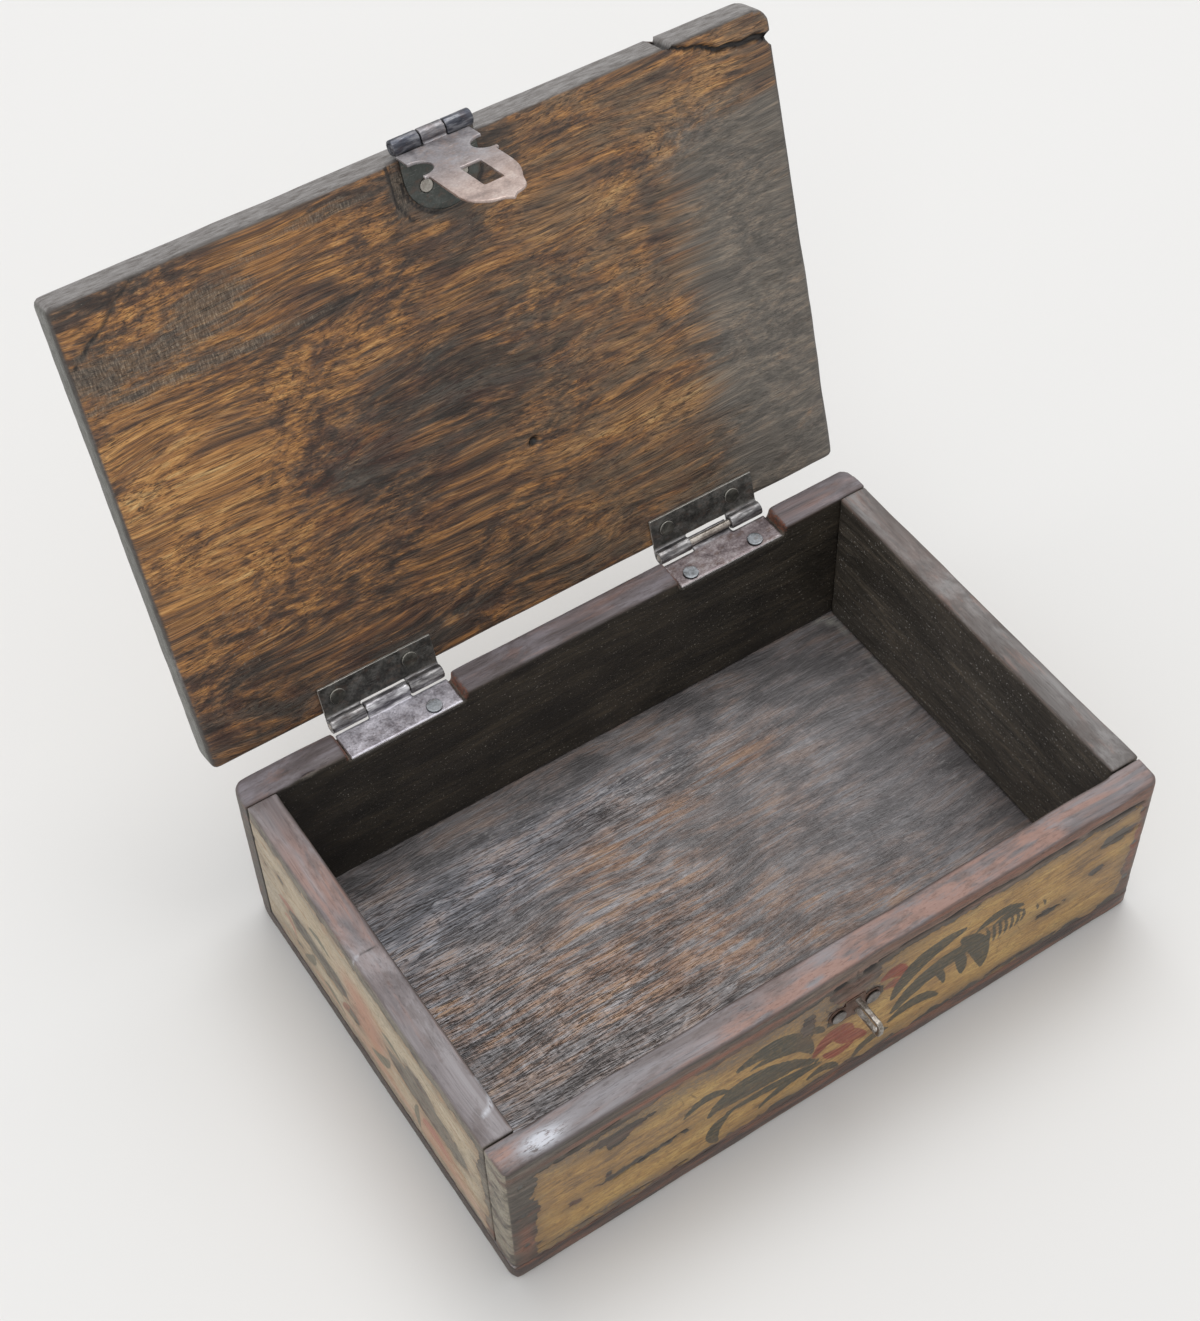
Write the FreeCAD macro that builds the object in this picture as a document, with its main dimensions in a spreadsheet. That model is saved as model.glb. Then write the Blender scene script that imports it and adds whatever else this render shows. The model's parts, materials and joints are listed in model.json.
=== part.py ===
import FreeCAD, Part
import os
import re

# A small wooden storage box with a nailed body, one hinged lid board, two iron
# butt hinges and an iron hasp that drops over a staple on the front.
#
# Origin: the centre of the underside. X runs along the length, Y towards the
# hinges at the back, Z up. All lengths are in millimetres and angles in degrees.
# Left and right are as seen from the front.
# The lid and everything on it are drawn shut and then turned about the hinge pins
# to the open angle that the model rests at.

doc = FreeCAD.newDocument("storage_box")
sheet = doc.addObject("Spreadsheet::Sheet", "Sizes")

SIZES = [
    ("box_length", 260.0, "body, along X"),
    ("box_depth", 175.4, "body, front face to back face"),
    ("body_height", 73.4, "underside to rim"),
    ("wall_thick", 12.0, "front, back and side walls"),
    ("base_thick", 8.0, "bottom board, nailed on from below"),
    ("corner_round", 4.8, "worn upright corners of the body"),
    ("corner_round_sharp", 2.5, "front left corner, the least worn"),
    ("lid_length", 262.0, "lid board, along X"),
    ("lid_reach", 178.0, "lid board, back edge to front edge"),
    ("lid_thick", 12.9, "lid board"),
    ("lid_shift", 1.1, "how far the lid sits to the left of the body"),
    ("lid_gap", 0.2, "lid underside above the rim when shut"),
    ("lid_round", 2.5, "upright corners of the lid"),
    ("lid_round_worn", 7.0, "front right corner of the lid"),
    ("lid_open", 106.9, "lid angle from shut, as it stands"),
    ("hinge_length", 45.0, "each butt hinge, along its pin"),
    ("hinge_reach", 15.0, "pin centre to the free edge of a leaf"),
    ("leaf_thick", 1.2, "sheet iron of hinges, hasp and its plate"),
    ("knuckle_radius", 2.7, "outside of a rolled knuckle"),
    ("end_knuckle", 13.6, "length of each end knuckle of a hinge"),
    ("knuckle_gap", 0.3, "between neighbouring knuckles and past their roll"),
    ("pin_clear", 0.05, "pin in its knuckle, on the radius"),
    ("hinge_left_in", 63.0, "left end of the body to the left hinge's centre"),
    ("hinge_right_in", 60.0, "right end of the body to the right hinge's centre"),
    ("hinge_behind", 3.3, "pin centre behind the back face"),
    ("lid_before_pin", 3.3, "back edge of the lid in front of the pin"),
    ("notch_gap", 1.0, "notch in the back wall past each end of a hinge"),
    ("nail_head_radius", 3.0, "flat round heads of the hinge nails"),
    ("nail_head_thick", 0.8, "hinge nails"),
    ("nail_radius", 1.1, "hinge nails, shank"),
    ("nail_length", 10.0, "hinge nails, under the head"),
    ("nail_tip", 3.0, "taper at the point of every nail"),
    ("nail_fit", 0.05, "hole past a shank, on the radius"),
    ("nail_out_left", 16.0, "hinge centre to its left nails"),
    ("nail_out_right", 12.6, "hinge centre to its right nails"),
    ("lid_nail_reach", 9.6, "pin centre to the nails of a lid leaf"),
    ("box_nail_reach", 11.4, "pin centre to the nails of a box leaf"),
    ("brad_radius", 1.0, "nails that hold the boards, shank"),
    ("brad_head_radius", 2.0, "nails that hold the boards, head"),
    ("brad_head_thick", 0.8, "nails that hold the boards, head"),
    ("brad_sunk", 0.6, "heads set below the wood"),
    ("corner_brad_length", 28.0, "front and back walls into the side walls"),
    ("base_brad_length", 22.0, "bottom board into the walls"),
    ("hasp_place", 2.2, "middle of the hasp, right of the middle"),
    ("hasp_barrel", 29.0, "length of the hasp's barrel"),
    ("hasp_knuckle", 8.8, "length of the flap's own knuckle"),
    ("hasp_edge_gap", 0.9, "barrel in front of the lid's front edge"),
    ("plate_half", 13.7, "half the width of the plate under the lid"),
    ("plate_reach", 21.4, "front edge of the lid to the plate's round end"),
    ("mortise_left", 4.2, "slip of the chisel left of that plate"),
    ("mortise_gap", 0.4, "mortise past its other sides"),
    ("rivet_radius", 2.35, "rivet heads, filed flush with the plate"),
    ("rivet_shank", 1.2, "rivets, shank radius"),
    ("rivet_length", 9.0, "rivets, into the lid"),
    ("rivet_out", 6.5, "rivets either side of the middle of the plate"),
    ("rivet_back", 11.3, "front edge of the lid to the rivets"),
    ("flap_off", 1.3, "middle of the flap left of the middle of its barrel"),
    ("flap_half", 13.3, "half the width of the flap at its barbs"),
    ("flap_root", 3.1, "pin centre to the flap's edge beside its knuckle"),
    ("flap_barb", 22.4, "pin centre to the points of the barbs"),
    ("bay_radius", 5.0, "round bays between root and barbs"),
    ("bay_centre", 15.9, "pin centre to the middle of the bays"),
    ("bay_out", 12.3, "bays either side of the middle of the flap"),
    ("shield_half", 12.0, "half the width of the shield below the barbs"),
    ("shield_centre", 40.6, "pin centre to the middle of the shield's round end"),
    ("flap_tip", 54.6, "pin centre to the point of the flap"),
    ("slot_width", 7.2, "slot for the staple, along X"),
    ("slot_length", 15.4, "slot for the staple, along the flap"),
    ("slot_centre", 33.1, "pin centre to the middle of the slot"),
    ("slot_off", 0.9, "slot right of the middle of the flap"),
    ("flap_lean", 3.2, "how far the hanging flap leans towards the wall"),
    ("staple_place", 3.3, "middle of the strap, right of the middle"),
    ("loop_off", 0.9, "staple right of the middle of its strap"),
    ("staple_height", 46.8, "middle of the staple above the underside"),
    ("loop_width", 2.0, "strip of the staple, along X"),
    ("loop_height", 7.4, "over both legs of the staple"),
    ("loop_thick", 1.4, "strip of the staple"),
    ("loop_out", 12.6, "staple, from the wall to its end"),
    ("loop_in", 8.0, "legs of the staple, into the wall"),
    ("loop_bend", 2.4, "outer radius of the two bends"),
    ("strap_thick", 1.0, "strap that holds the staple, let in flush"),
    ("strap_ear", 3.8, "round ears of the strap, radius"),
    ("strap_out", 6.9, "ears either side of the staple"),
    ("strap_drop", 0.3, "ears below the middle of the staple"),
    ("strap_web", 4.6, "height of the strap between its ears"),
    ("strap_middle_half", 4.2, "half the width of the strap's middle"),
    ("strap_middle_height", 10.4, "height of the strap's middle"),
    ("strap_head_radius", 2.9, "nail heads on the strap"),
    ("strap_nail_length", 9.0, "nails of the strap, from the wall's face"),
    ("tool_overrun", 2.0, "how far a cutting tool passes the material"),
]
for row, (alias, value, note) in enumerate(SIZES, start=1):
    sheet.set("A%d" % row, note)
    sheet.set("B%d" % row, str(value))
    sheet.setAlias("B%d" % row, alias)
doc.recompute()

# Places that follow from the sizes, as formulas of the sheet.
PLACES = {
    "pin_y": "box_depth / 2 + hinge_behind",
    "lid_under_z": "body_height + lid_gap",
    "pin_z": "lid_under_z - knuckle_radius",
    "pin_radius": "knuckle_radius - leaf_thick - pin_clear",
    "lid_back_y": "pin_y - lid_before_pin",
    "lid_front_y": "lid_back_y - lid_reach",
    "hasp_y": "lid_front_y - hasp_edge_gap - knuckle_radius",
    "hasp_z": "lid_under_z + knuckle_radius",
    "front_y": "-box_depth / 2",
    "back_y": "box_depth / 2",
    "wall_height": "body_height - base_thick",
    "mid_knuckle": "hinge_length - 2 * end_knuckle - 2 * knuckle_gap",
    "strap_z": "staple_height - strap_drop",
    "loop_x": "staple_place + loop_off",
    "flap_x": "hasp_place - flap_off",
    "lid_pin_turned_y": "pin_y * cos(lid_open) + pin_z * sin(lid_open)",
    "lid_pin_turned_z": "pin_z * cos(lid_open) - pin_y * sin(lid_open)",
    "hasp_from_pin_y": "hasp_y - pin_y",
    "hasp_from_pin_z": "hasp_z - pin_z",
    "hasp_open_y": "pin_y + hasp_from_pin_y * cos(lid_open) + hasp_from_pin_z * sin(lid_open)",
    "hasp_open_z": "pin_z + hasp_from_pin_z * cos(lid_open) - hasp_from_pin_y * sin(lid_open)",
    "flap_turn": "lid_open - flap_lean",
}

WORD = re.compile(r"[a-z]+(?:_[a-z]+)+")
ALONG_X = FreeCAD.Rotation(FreeCAD.Vector(0, 1, 0), 90)
ALONG_Y = FreeCAD.Rotation(FreeCAD.Vector(1, 0, 0), -90)
TOWARDS_FRONT = FreeCAD.Rotation(FreeCAD.Vector(1, 0, 0), 90)
UPSIDE_DOWN = FreeCAD.Rotation(FreeCAD.Vector(1, 0, 0), 180)
QUARTER_ROUND = FreeCAD.Rotation(FreeCAD.Vector(0, 1, 0), -45)
UPRIGHT = FreeCAD.Rotation()
OPENING_TURN = FreeCAD.Vector(-1, 0, 0)


def formula(text):
    """The sheet's expression for a formula written in sizes and places."""
    def swap(found):
        word = found.group()
        if word in PLACES:
            return "(" + formula(PLACES[word]) + ")"
        return "Sizes." + word
    return WORD.sub(swap, str(text))


def bind(item, **values):
    for name, text in values.items():
        item.setExpression(name, formula(text))
    return item


def put(item, turn, at):
    """Places an item: a fixed turn, and a corner or centre that follows the sizes."""
    item.Placement = FreeCAD.Placement(FreeCAD.Vector(), turn)
    for axis, text in zip("xyz", at):
        item.setExpression("Placement.Base." + axis, formula(text))
    return item


def block(name, size, at):
    item = doc.addObject("Part::Box", name)
    bind(item, Length=size[0], Width=size[1], Height=size[2])
    return put(item, UPRIGHT, at)


def rod(name, radius, length, turn, at):
    item = doc.addObject("Part::Cylinder", name)
    bind(item, Radius=radius, Height=length)
    return put(item, turn, at)


def fuse(name, items):
    item = doc.addObject("Part::MultiFuse", name)
    item.Shapes = items
    item.Refine = True
    return item


def cut(name, solid, tools):
    """The solid less the tools, which are joined first when there are several."""
    if len(tools) > 1:
        tool = doc.addObject("Part::MultiFuse", name + "_tools")
        tool.Shapes = tools
    else:
        tool = tools[0]
    item = doc.addObject("Part::Cut", name)
    item.Base = solid
    item.Tool = tool
    item.Refine = True
    return item


def group(name, items):
    item = doc.addObject("Part::Compound", name)
    item.Links = items
    return item


def round_corners(name, solid, radii):
    """Rounds the upright edges in the quarters given by the signs of their X and Y."""
    doc.recompute()
    middle = solid.Shape.BoundBox.Center
    edges = []
    for number, edge in enumerate(solid.Shape.Edges, start=1):
        first, last = edge.Vertexes[0].Point, edge.Vertexes[-1].Point
        if abs(first.z - last.z) < solid.Shape.BoundBox.ZLength / 2:
            continue
        quarter = (first.x > middle.x, first.y > middle.y)
        if quarter in radii:
            radius = sheet.get(radii[quarter])
            edges.append((number, radius, radius))
    item = doc.addObject("Part::Fillet", name)
    item.Base = solid
    item.Edges = edges
    return item


def open_with_lid(item):
    """Turns a piece of the shut lid about the hinge pins to the open angle."""
    item.Placement = FreeCAD.Placement(FreeCAD.Vector(), FreeCAD.Rotation(OPENING_TURN, 1))
    item.setExpression("Placement.Rotation.Angle", formula("lid_open"))
    item.setExpression("Placement.Base.y", formula("pin_y - lid_pin_turned_y"))
    item.setExpression("Placement.Base.z", formula("pin_z - lid_pin_turned_z"))
    return item


def further(at, turn, run):
    """The place that lies a run along the turned Z direction from another."""
    way = turn.multVec(FreeCAD.Vector(0, 0, 1))
    return tuple("%s + (%s) * (%d)" % (start, run, round(step)) for start, step in zip(at, way))


def nail(name, radii, lengths, turn, at):
    """A nail: the underside of its head lies at the place given, and its shank and point
    run on from there along the turned Z direction."""
    head_radius, shank_radius = radii
    head_thick, length = lengths
    straight = "(%s - nail_tip)" % length
    head = rod(name + "_head", head_radius, head_thick, turn, further(at, turn, "-%s" % head_thick))
    shank = rod(name + "_shank", shank_radius, straight, turn, at)
    point = doc.addObject("Part::Cone", name + "_point")
    bind(point, Radius1=shank_radius, Radius2="%s / 4" % shank_radius, Height="nail_tip")
    put(point, turn, further(at, turn, straight))
    return fuse(name, [head, shank, point])


FRONT_RADII = {(False, False): "corner_round_sharp", (True, False): "corner_round"}
BACK_RADII = {(False, True): "corner_round", (True, True): "corner_round"}
HINGES = {"left": "(hinge_left_in - box_length / 2)", "right": "(box_length / 2 - hinge_right_in)"}
HINGE_NAIL_PLACES = {
    "left": {"box": ["nail_out_right"], "lid": ["-nail_out_left", "nail_out_right"]},
    "right": {"box": ["-nail_out_left", "nail_out_right"], "lid": ["-nail_out_left", "nail_out_right"]},
}
CORNER_BRAD_SHARES = [0.18, 0.5, 0.8]
LONG_BASE_BRAD_SHARES = [-0.38, -0.13, 0.13, 0.38]
SHORT_BASE_BRAD_SHARES = [-0.25, 0.25]


def brad_places():
    """Which board each hidden nail starts in, its turn, and the underside of its head."""
    places = []
    sunk = "brad_sunk + brad_head_thick"
    for side in (-1, 1):
        mid_side_wall = "%d * (box_length - wall_thick) / 2" % side
        mid_long_wall = "%d * (box_depth - wall_thick) / 2" % side
        for share in CORNER_BRAD_SHARES:
            z = "base_thick + %s * wall_height" % share
            places.append(("front", ALONG_Y, (mid_side_wall, "front_y + %s" % sunk, z)))
            places.append(("back", TOWARDS_FRONT, (mid_side_wall, "back_y - (%s)" % sunk, z)))
        for share in LONG_BASE_BRAD_SHARES:
            places.append(("base", UPRIGHT, ("%s * box_length" % share, mid_long_wall, sunk)))
        for share in SHORT_BASE_BRAD_SHARES:
            places.append(("base", UPRIGHT, (mid_side_wall, "%s * box_depth" % share, sunk)))
    return places


def brad_hole(name, place):
    """The hole for one hidden nail: its shank, and its head out to the face."""
    kind, turn, at = place
    length = "base_brad_length" if kind == "base" else "corner_brad_length"
    back = "(brad_sunk + brad_head_thick + tool_overrun)"
    wide = rod(name + "_head_hole", "brad_head_radius + nail_fit", back, turn,
               further(at, turn, "-%s" % back))
    deep = rod(name + "_hole", "brad_radius + nail_fit", length, turn, at)
    return [wide, deep]


def make_brads():
    """The nails that hold walls and bottom, and the holes for them in each board."""
    nails = {"front": [], "back": [], "base": []}
    holes = {"front": [], "back": [], "base": []}
    for number, place in enumerate(brad_places(), start=1):
        kind, turn, at = place
        name = "%s_brad_%d" % (kind, number)
        length = "base_brad_length" if kind == "base" else "corner_brad_length"
        radii = ("brad_head_radius", "brad_radius")
        nails[kind].append(nail(name, radii, ("brad_head_thick", length), turn, at))
        holes[kind] += brad_hole(name, place)
    group("front_corner_nails", nails["front"])
    group("back_corner_nails", nails["back"])
    group("base_nails", nails["base"])
    return holes


def make_body(holes):
    """Bottom board, four walls and their cuts."""
    base = block("base_blank", ("box_length", "box_depth", "base_thick"),
                 ("-box_length / 2", "front_y", "0"))
    rounded = round_corners("base_rounded", base, {**FRONT_RADII, **BACK_RADII})
    cut("base_board", rounded, holes["base"])

    front = block("front_blank", ("box_length", "wall_thick", "wall_height"),
                  ("-box_length / 2", "front_y", "base_thick"))
    rounded = round_corners("front_rounded", front, FRONT_RADII)
    cut("front_wall", rounded, holes["front"] + holes["base"] + strap_seat() + loop_holes("wall"))

    back = block("back_blank", ("box_length", "wall_thick", "wall_height"),
                 ("-box_length / 2", "back_y - wall_thick", "base_thick"))
    rounded = round_corners("back_rounded", back, BACK_RADII)
    notches = [hinge_notch(side, place) for side, place in HINGES.items()]
    nail_holes = [hole for side in HINGES for hole in HINGE_NAIL_HOLES[side]["box"]]
    cut("back_wall", rounded, holes["back"] + holes["base"] + notches + nail_holes)

    for side, corner in (("left", "-box_length / 2"), ("right", "box_length / 2 - wall_thick")):
        wall = block(side + "_blank", ("wall_thick", "box_depth - 2 * wall_thick", "wall_height"),
                     (corner, "front_y + wall_thick", "base_thick"))
        cut(side + "_wall", wall, holes["front"] + holes["back"] + holes["base"])


def hinge_notch(side, place):
    """The notch through the back wall that takes one shut hinge."""
    deep = "2 * knuckle_radius - lid_gap"
    return block(side + "_notch",
                 ("hinge_length + 2 * notch_gap", "wall_thick + 2 * tool_overrun",
                  "%s + tool_overrun" % deep),
                 ("%s - hinge_length / 2 - notch_gap" % place, "back_y - wall_thick - tool_overrun",
                  "body_height - (%s)" % deep))


def hinge_nail_places(side, leaf):
    """The turn of one leaf's nails and where the undersides of their heads lie."""
    if leaf == "box":
        turn, y, z = UPSIDE_DOWN, "pin_y - box_nail_reach", "pin_z - knuckle_radius + leaf_thick"
    else:
        turn, y, z = UPRIGHT, "pin_y - lid_nail_reach", "lid_under_z - leaf_thick"
    return turn, [("%s + %s" % (HINGES[side], out), y, z) for out in HINGE_NAIL_PLACES[side][leaf]]


def hinge_nail_holes(side, leaf):
    """Holes for the shanks of one leaf's nails, through the leaf and into its board."""
    turn, places = hinge_nail_places(side, leaf)
    holes = []
    for number, at in enumerate(places, start=1):
        holes.append(rod("%s_%s_nail_hole_%d" % (side, leaf, number), "nail_radius + nail_fit",
                         "nail_length + tool_overrun", turn, further(at, turn, "-tool_overrun")))
    return holes


def knuckle_rod(name, radius, start, length):
    """A rod on the hinge pin's line."""
    return rod(name, radius, length, ALONG_X, (start, "pin_y", "pin_z"))


def clearing(name, start, length):
    """Clears one knuckle of the other leaf out of this one."""
    wide = "knuckle_radius + knuckle_gap"
    return block(name, (length, "%s + knuckle_radius + tool_overrun" % wide, "2 * (%s)" % wide),
                 (start, "pin_y - (%s)" % wide, "pin_z - (%s)" % wide))


def hinge_leaf(side, leaf):
    """One leaf of a butt hinge. The box leaf has the middle knuckle and lies in the
    notch; the lid leaf has the two end knuckles and lies on the underside of the lid."""
    name = "%s_hinge_%s_leaf" % (side, leaf)
    left = "%s - hinge_length / 2" % HINGES[side]
    level = "pin_z - knuckle_radius" if leaf == "box" else "lid_under_z - leaf_thick"
    sheet_iron = block(name + "_sheet", ("hinge_length", "hinge_reach", "leaf_thick"),
                       (left, "pin_y - hinge_reach", level))
    barrel = knuckle_rod(name + "_barrel", "knuckle_radius", left, "hinge_length")
    blank = fuse(name + "_blank", [sheet_iron, barrel])
    tools = list(HINGE_NAIL_HOLES[side][leaf])
    tools.append(knuckle_rod(name + "_bore", "pin_radius + pin_clear",
                             "%s - tool_overrun" % left, "hinge_length + 2 * tool_overrun"))
    middle = "%s + end_knuckle" % left
    if leaf == "box":
        tools.append(clearing(name + "_clear_1", "%s - tool_overrun" % left,
                              "end_knuckle + knuckle_gap + tool_overrun"))
        tools.append(clearing(name + "_clear_2", "%s + mid_knuckle + knuckle_gap" % middle,
                              "end_knuckle + knuckle_gap + tool_overrun"))
    else:
        tools.append(clearing(name + "_clear", middle, "mid_knuckle + 2 * knuckle_gap"))
    if side == "right" and leaf == "box":
        tools += opened_roll(name, left)
    return cut(name, blank, tools)


def opened_roll(name, left):
    """The right hinge's middle knuckle has sprung open: its roll only cradles the pin
    from below and behind, so the pin shows from the front."""
    whole = "hinge_length + 2 * tool_overrun"
    start = "%s - tool_overrun" % left
    above = block(name + "_open_top",
                  (whole, "2 * knuckle_radius + tool_overrun", "knuckle_radius + tool_overrun"),
                  (start, "pin_y - knuckle_radius", "pin_z"))
    before = block(name + "_open_front", (whole, "knuckle_radius", "knuckle_radius"),
                   (start, "pin_y - knuckle_radius", "pin_z - knuckle_radius + leaf_thick"))
    return [above, before]


def make_hinges():
    """Leaves, pins and nails of both butt hinges."""
    for side, place in HINGES.items():
        hinge_leaf(side, "box")
        open_with_lid(hinge_leaf(side, "lid"))
        knuckle_rod(side + "_hinge_pin", "pin_radius", "%s - hinge_length / 2" % place, "hinge_length")
        radii = ("nail_head_radius", "nail_radius")
        lengths = ("nail_head_thick", "nail_length")
        for leaf in ("box", "lid"):
            turn, places = hinge_nail_places(side, leaf)
            nails = []
            for number, at in enumerate(places, start=1):
                nails.append(nail("%s_%s_nail_%d" % (side, leaf, number), radii, lengths, turn, at))
            nails_of_leaf = group("%s_hinge_%s_nails" % (side, leaf), nails)
            if leaf == "lid":
                open_with_lid(nails_of_leaf)


def rivet_places():
    return [("hasp_place + %d * rivet_out" % side, "lid_front_y + rivet_back") for side in (-1, 1)]


def make_lid():
    """The lid board with the mortise for the hasp's plate and its nail holes."""
    blank = block("lid_blank", ("lid_length", "lid_reach", "lid_thick"),
                  ("-lid_length / 2 - lid_shift", "lid_front_y", "lid_under_z"))
    radii = {
        (False, False): "lid_round",
        (True, False): "lid_round_worn",
        (False, True): "lid_round",
        (True, True): "lid_round",
    }
    rounded = round_corners("lid_rounded", blank, radii)
    half = "(plate_half + mortise_gap)"
    deep = "leaf_thick + tool_overrun"
    straight = block("mortise_straight",
                     ("2 * %s" % half, "plate_reach - plate_half + tool_overrun", deep),
                     ("hasp_place - %s" % half, "lid_front_y - tool_overrun", "lid_under_z - tool_overrun"))
    round_end = rod("mortise_round", half, deep, UPRIGHT,
                    ("hasp_place", "lid_front_y + plate_reach - plate_half", "lid_under_z - tool_overrun"))
    slip = block("mortise_slip", ("mortise_left + plate_half", "plate_reach + tool_overrun", deep),
                 ("hasp_place - plate_half - mortise_left", "lid_front_y - tool_overrun",
                  "lid_under_z - tool_overrun"))
    holes = [hole for side in HINGES for hole in HINGE_NAIL_HOLES[side]["lid"]]
    for number, (x, y) in enumerate(rivet_places(), start=1):
        holes.append(rod("rivet_hole_%d" % number, "rivet_shank + nail_fit",
                         "leaf_thick + rivet_length", UPRIGHT, (x, y, "lid_under_z")))
    open_with_lid(cut("lid_board", rounded, [straight, round_end, slip] + holes))


def hasp_rod(name, radius, start, length):
    """A rod on the line of the hasp's pin, lid shut."""
    return rod(name, radius, length, ALONG_X, (start, "hasp_y", "hasp_z"))


def make_hasp_plate():
    """The round-ended plate let into the lid, with the barrel's two end knuckles."""
    left = "hasp_place - hasp_barrel / 2"
    tongue = block("plate_tongue",
                   ("2 * plate_half",
                    "plate_reach - plate_half + hasp_edge_gap + knuckle_radius", "leaf_thick"),
                   ("hasp_place - plate_half", "hasp_y", "lid_under_z"))
    disc = rod("plate_disc", "plate_half", "leaf_thick", UPRIGHT,
               ("hasp_place", "lid_front_y + plate_reach - plate_half", "lid_under_z"))
    front_half = block("plate_disc_front", ("2 * plate_half", "plate_half", "leaf_thick"),
                       ("hasp_place - plate_half", "lid_front_y + plate_reach - 2 * plate_half",
                        "lid_under_z"))
    end = cut("plate_end", disc, [front_half])
    barrel = hasp_rod("plate_barrel", "knuckle_radius", left, "hasp_barrel")
    blank = fuse("hasp_plate_blank", [tongue, end, barrel])
    wide = "knuckle_radius + knuckle_gap"
    tools = [
        block("plate_clear", ("hasp_knuckle + 2 * knuckle_gap", "2 * (%s)" % wide, "2 * (%s)" % wide),
              ("hasp_place - hasp_knuckle / 2 - knuckle_gap", "hasp_y - (%s)" % wide,
               "hasp_z - (%s)" % wide)),
        hasp_rod("plate_bore", "pin_radius + pin_clear", "%s - tool_overrun" % left,
                 "hasp_barrel + 2 * tool_overrun"),
    ]
    for number, (x, y) in enumerate(rivet_places(), start=1):
        tools.append(rod("plate_rivet_hole_%d" % number, "rivet_radius + nail_fit",
                         "leaf_thick + 2 * tool_overrun", UPRIGHT, (x, y, "lid_under_z - tool_overrun")))
    open_with_lid(cut("hasp_plate", blank, tools))
    open_with_lid(group("hasp_pin", [hasp_rod("hasp_pin_rod", "pin_radius", left, "hasp_barrel")]))
    rivets = []
    for number, (x, y) in enumerate(rivet_places(), start=1):
        rivets.append(nail("rivet_%d" % number, ("rivet_radius", "rivet_shank"),
                           ("leaf_thick", "rivet_length"), UPRIGHT, (x, y, "lid_under_z + leaf_thick")))
    open_with_lid(group("hasp_rivets", rivets))


def make_flap():
    """The hasp's flap, drawn hanging straight down from its pin. Its sheet is tangent to
    the barrel on the side of the wall. A round shield with a small point carries the slot,
    and two round bays under the root leave a barb at each side."""
    depth = "leaf_thick"
    near = "hasp_y + knuckle_radius - leaf_thick"
    root = block("flap_root_block", ("2 * flap_half", depth, "flap_barb - flap_root"),
                 ("flap_x - flap_half", near, "hasp_z - flap_barb"))
    shield = block("shield_sides", ("2 * shield_half", depth, "shield_centre - flap_barb"),
                   ("flap_x - shield_half", near, "hasp_z - shield_centre"))
    round_end = rod("shield_round", "shield_half", depth, ALONG_Y,
                    ("flap_x", near, "hasp_z - shield_centre"))
    nib = doc.addObject("Part::Box", "shield_nib")
    bind(nib, Length="shield_half / 2", Width=depth, Height="shield_half / 2")
    put(nib, QUARTER_ROUND, ("flap_x", near, "hasp_z - flap_tip"))
    knuckle = hasp_rod("flap_barrel", "knuckle_radius", "hasp_place - hasp_knuckle / 2", "hasp_knuckle")
    neck = block("flap_neck", ("hasp_knuckle", depth, "flap_root"),
                 ("hasp_place - hasp_knuckle / 2", near, "hasp_z - flap_root"))
    blank = fuse("flap_blank", [root, shield, round_end, nib, knuckle, neck])
    through = "%s + 2 * tool_overrun" % depth
    tools = [
        hasp_rod("flap_bore", "pin_radius + pin_clear", "hasp_place - hasp_knuckle",
                 "2 * hasp_knuckle"),
        block("flap_slot", ("slot_width", through, "slot_length"),
              ("flap_x + slot_off - slot_width / 2", "%s - tool_overrun" % near,
               "hasp_z - slot_centre - slot_length / 2")),
    ]
    for number, side in enumerate((-1, 1), start=1):
        tools.append(rod("flap_bay_%d" % number, "bay_radius", through, ALONG_Y,
                         ("flap_x + %d * bay_out" % side, "%s - tool_overrun" % near,
                          "hasp_z - bay_centre")))
    flap = cut("hasp_flap", blank, tools)
    flap.Placement = FreeCAD.Placement(FreeCAD.Vector(), FreeCAD.Rotation(OPENING_TURN, 1))
    flap.setExpression("Placement.Rotation.Angle", formula("flap_turn"))
    turned_y = "(hasp_y * cos(flap_turn) + hasp_z * sin(flap_turn))"
    turned_z = "(hasp_z * cos(flap_turn) - hasp_y * sin(flap_turn))"
    flap.setExpression("Placement.Base.y", formula("hasp_open_y - %s" % turned_y))
    flap.setExpression("Placement.Base.z", formula("hasp_open_z - %s" % turned_z))


def strap_blank(name, extra, start, depth):
    """The strap's outline, with its ears and middle grown by extra, as one solid."""
    pieces = []
    for number, side in enumerate((-1, 1), start=1):
        pieces.append(rod("%s_ear_%d" % (name, number), "strap_ear + %s" % extra, depth, ALONG_Y,
                          ("staple_place + %d * strap_out" % side, start, "strap_z")))
    pieces.append(block(name + "_web", ("2 * strap_out", depth, "strap_web + 2 * %s" % extra),
                        ("staple_place - strap_out", start, "strap_z - strap_web / 2 - %s" % extra)))
    pieces.append(block(name + "_middle",
                        ("2 * strap_middle_half + 2 * %s" % extra, depth,
                         "strap_middle_height + 2 * %s" % extra),
                        ("staple_place - strap_middle_half - %s" % extra, start,
                         "staple_height - strap_middle_height / 2 - %s" % extra)))
    return fuse(name, pieces)


def strap_seat():
    """The shallow mortise for the strap and the holes for its nails."""
    seat = strap_blank("strap_mortise", "nail_fit", "front_y - tool_overrun", "strap_thick + tool_overrun")
    holes = []
    for number, side in enumerate((-1, 1), start=1):
        holes.append(rod("strap_nail_hole_%d" % number, "nail_radius + nail_fit",
                         "strap_nail_length + tool_overrun", ALONG_Y,
                         ("staple_place + %d * strap_out" % side, "front_y - tool_overrun", "strap_z")))
    return [seat] + holes


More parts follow.
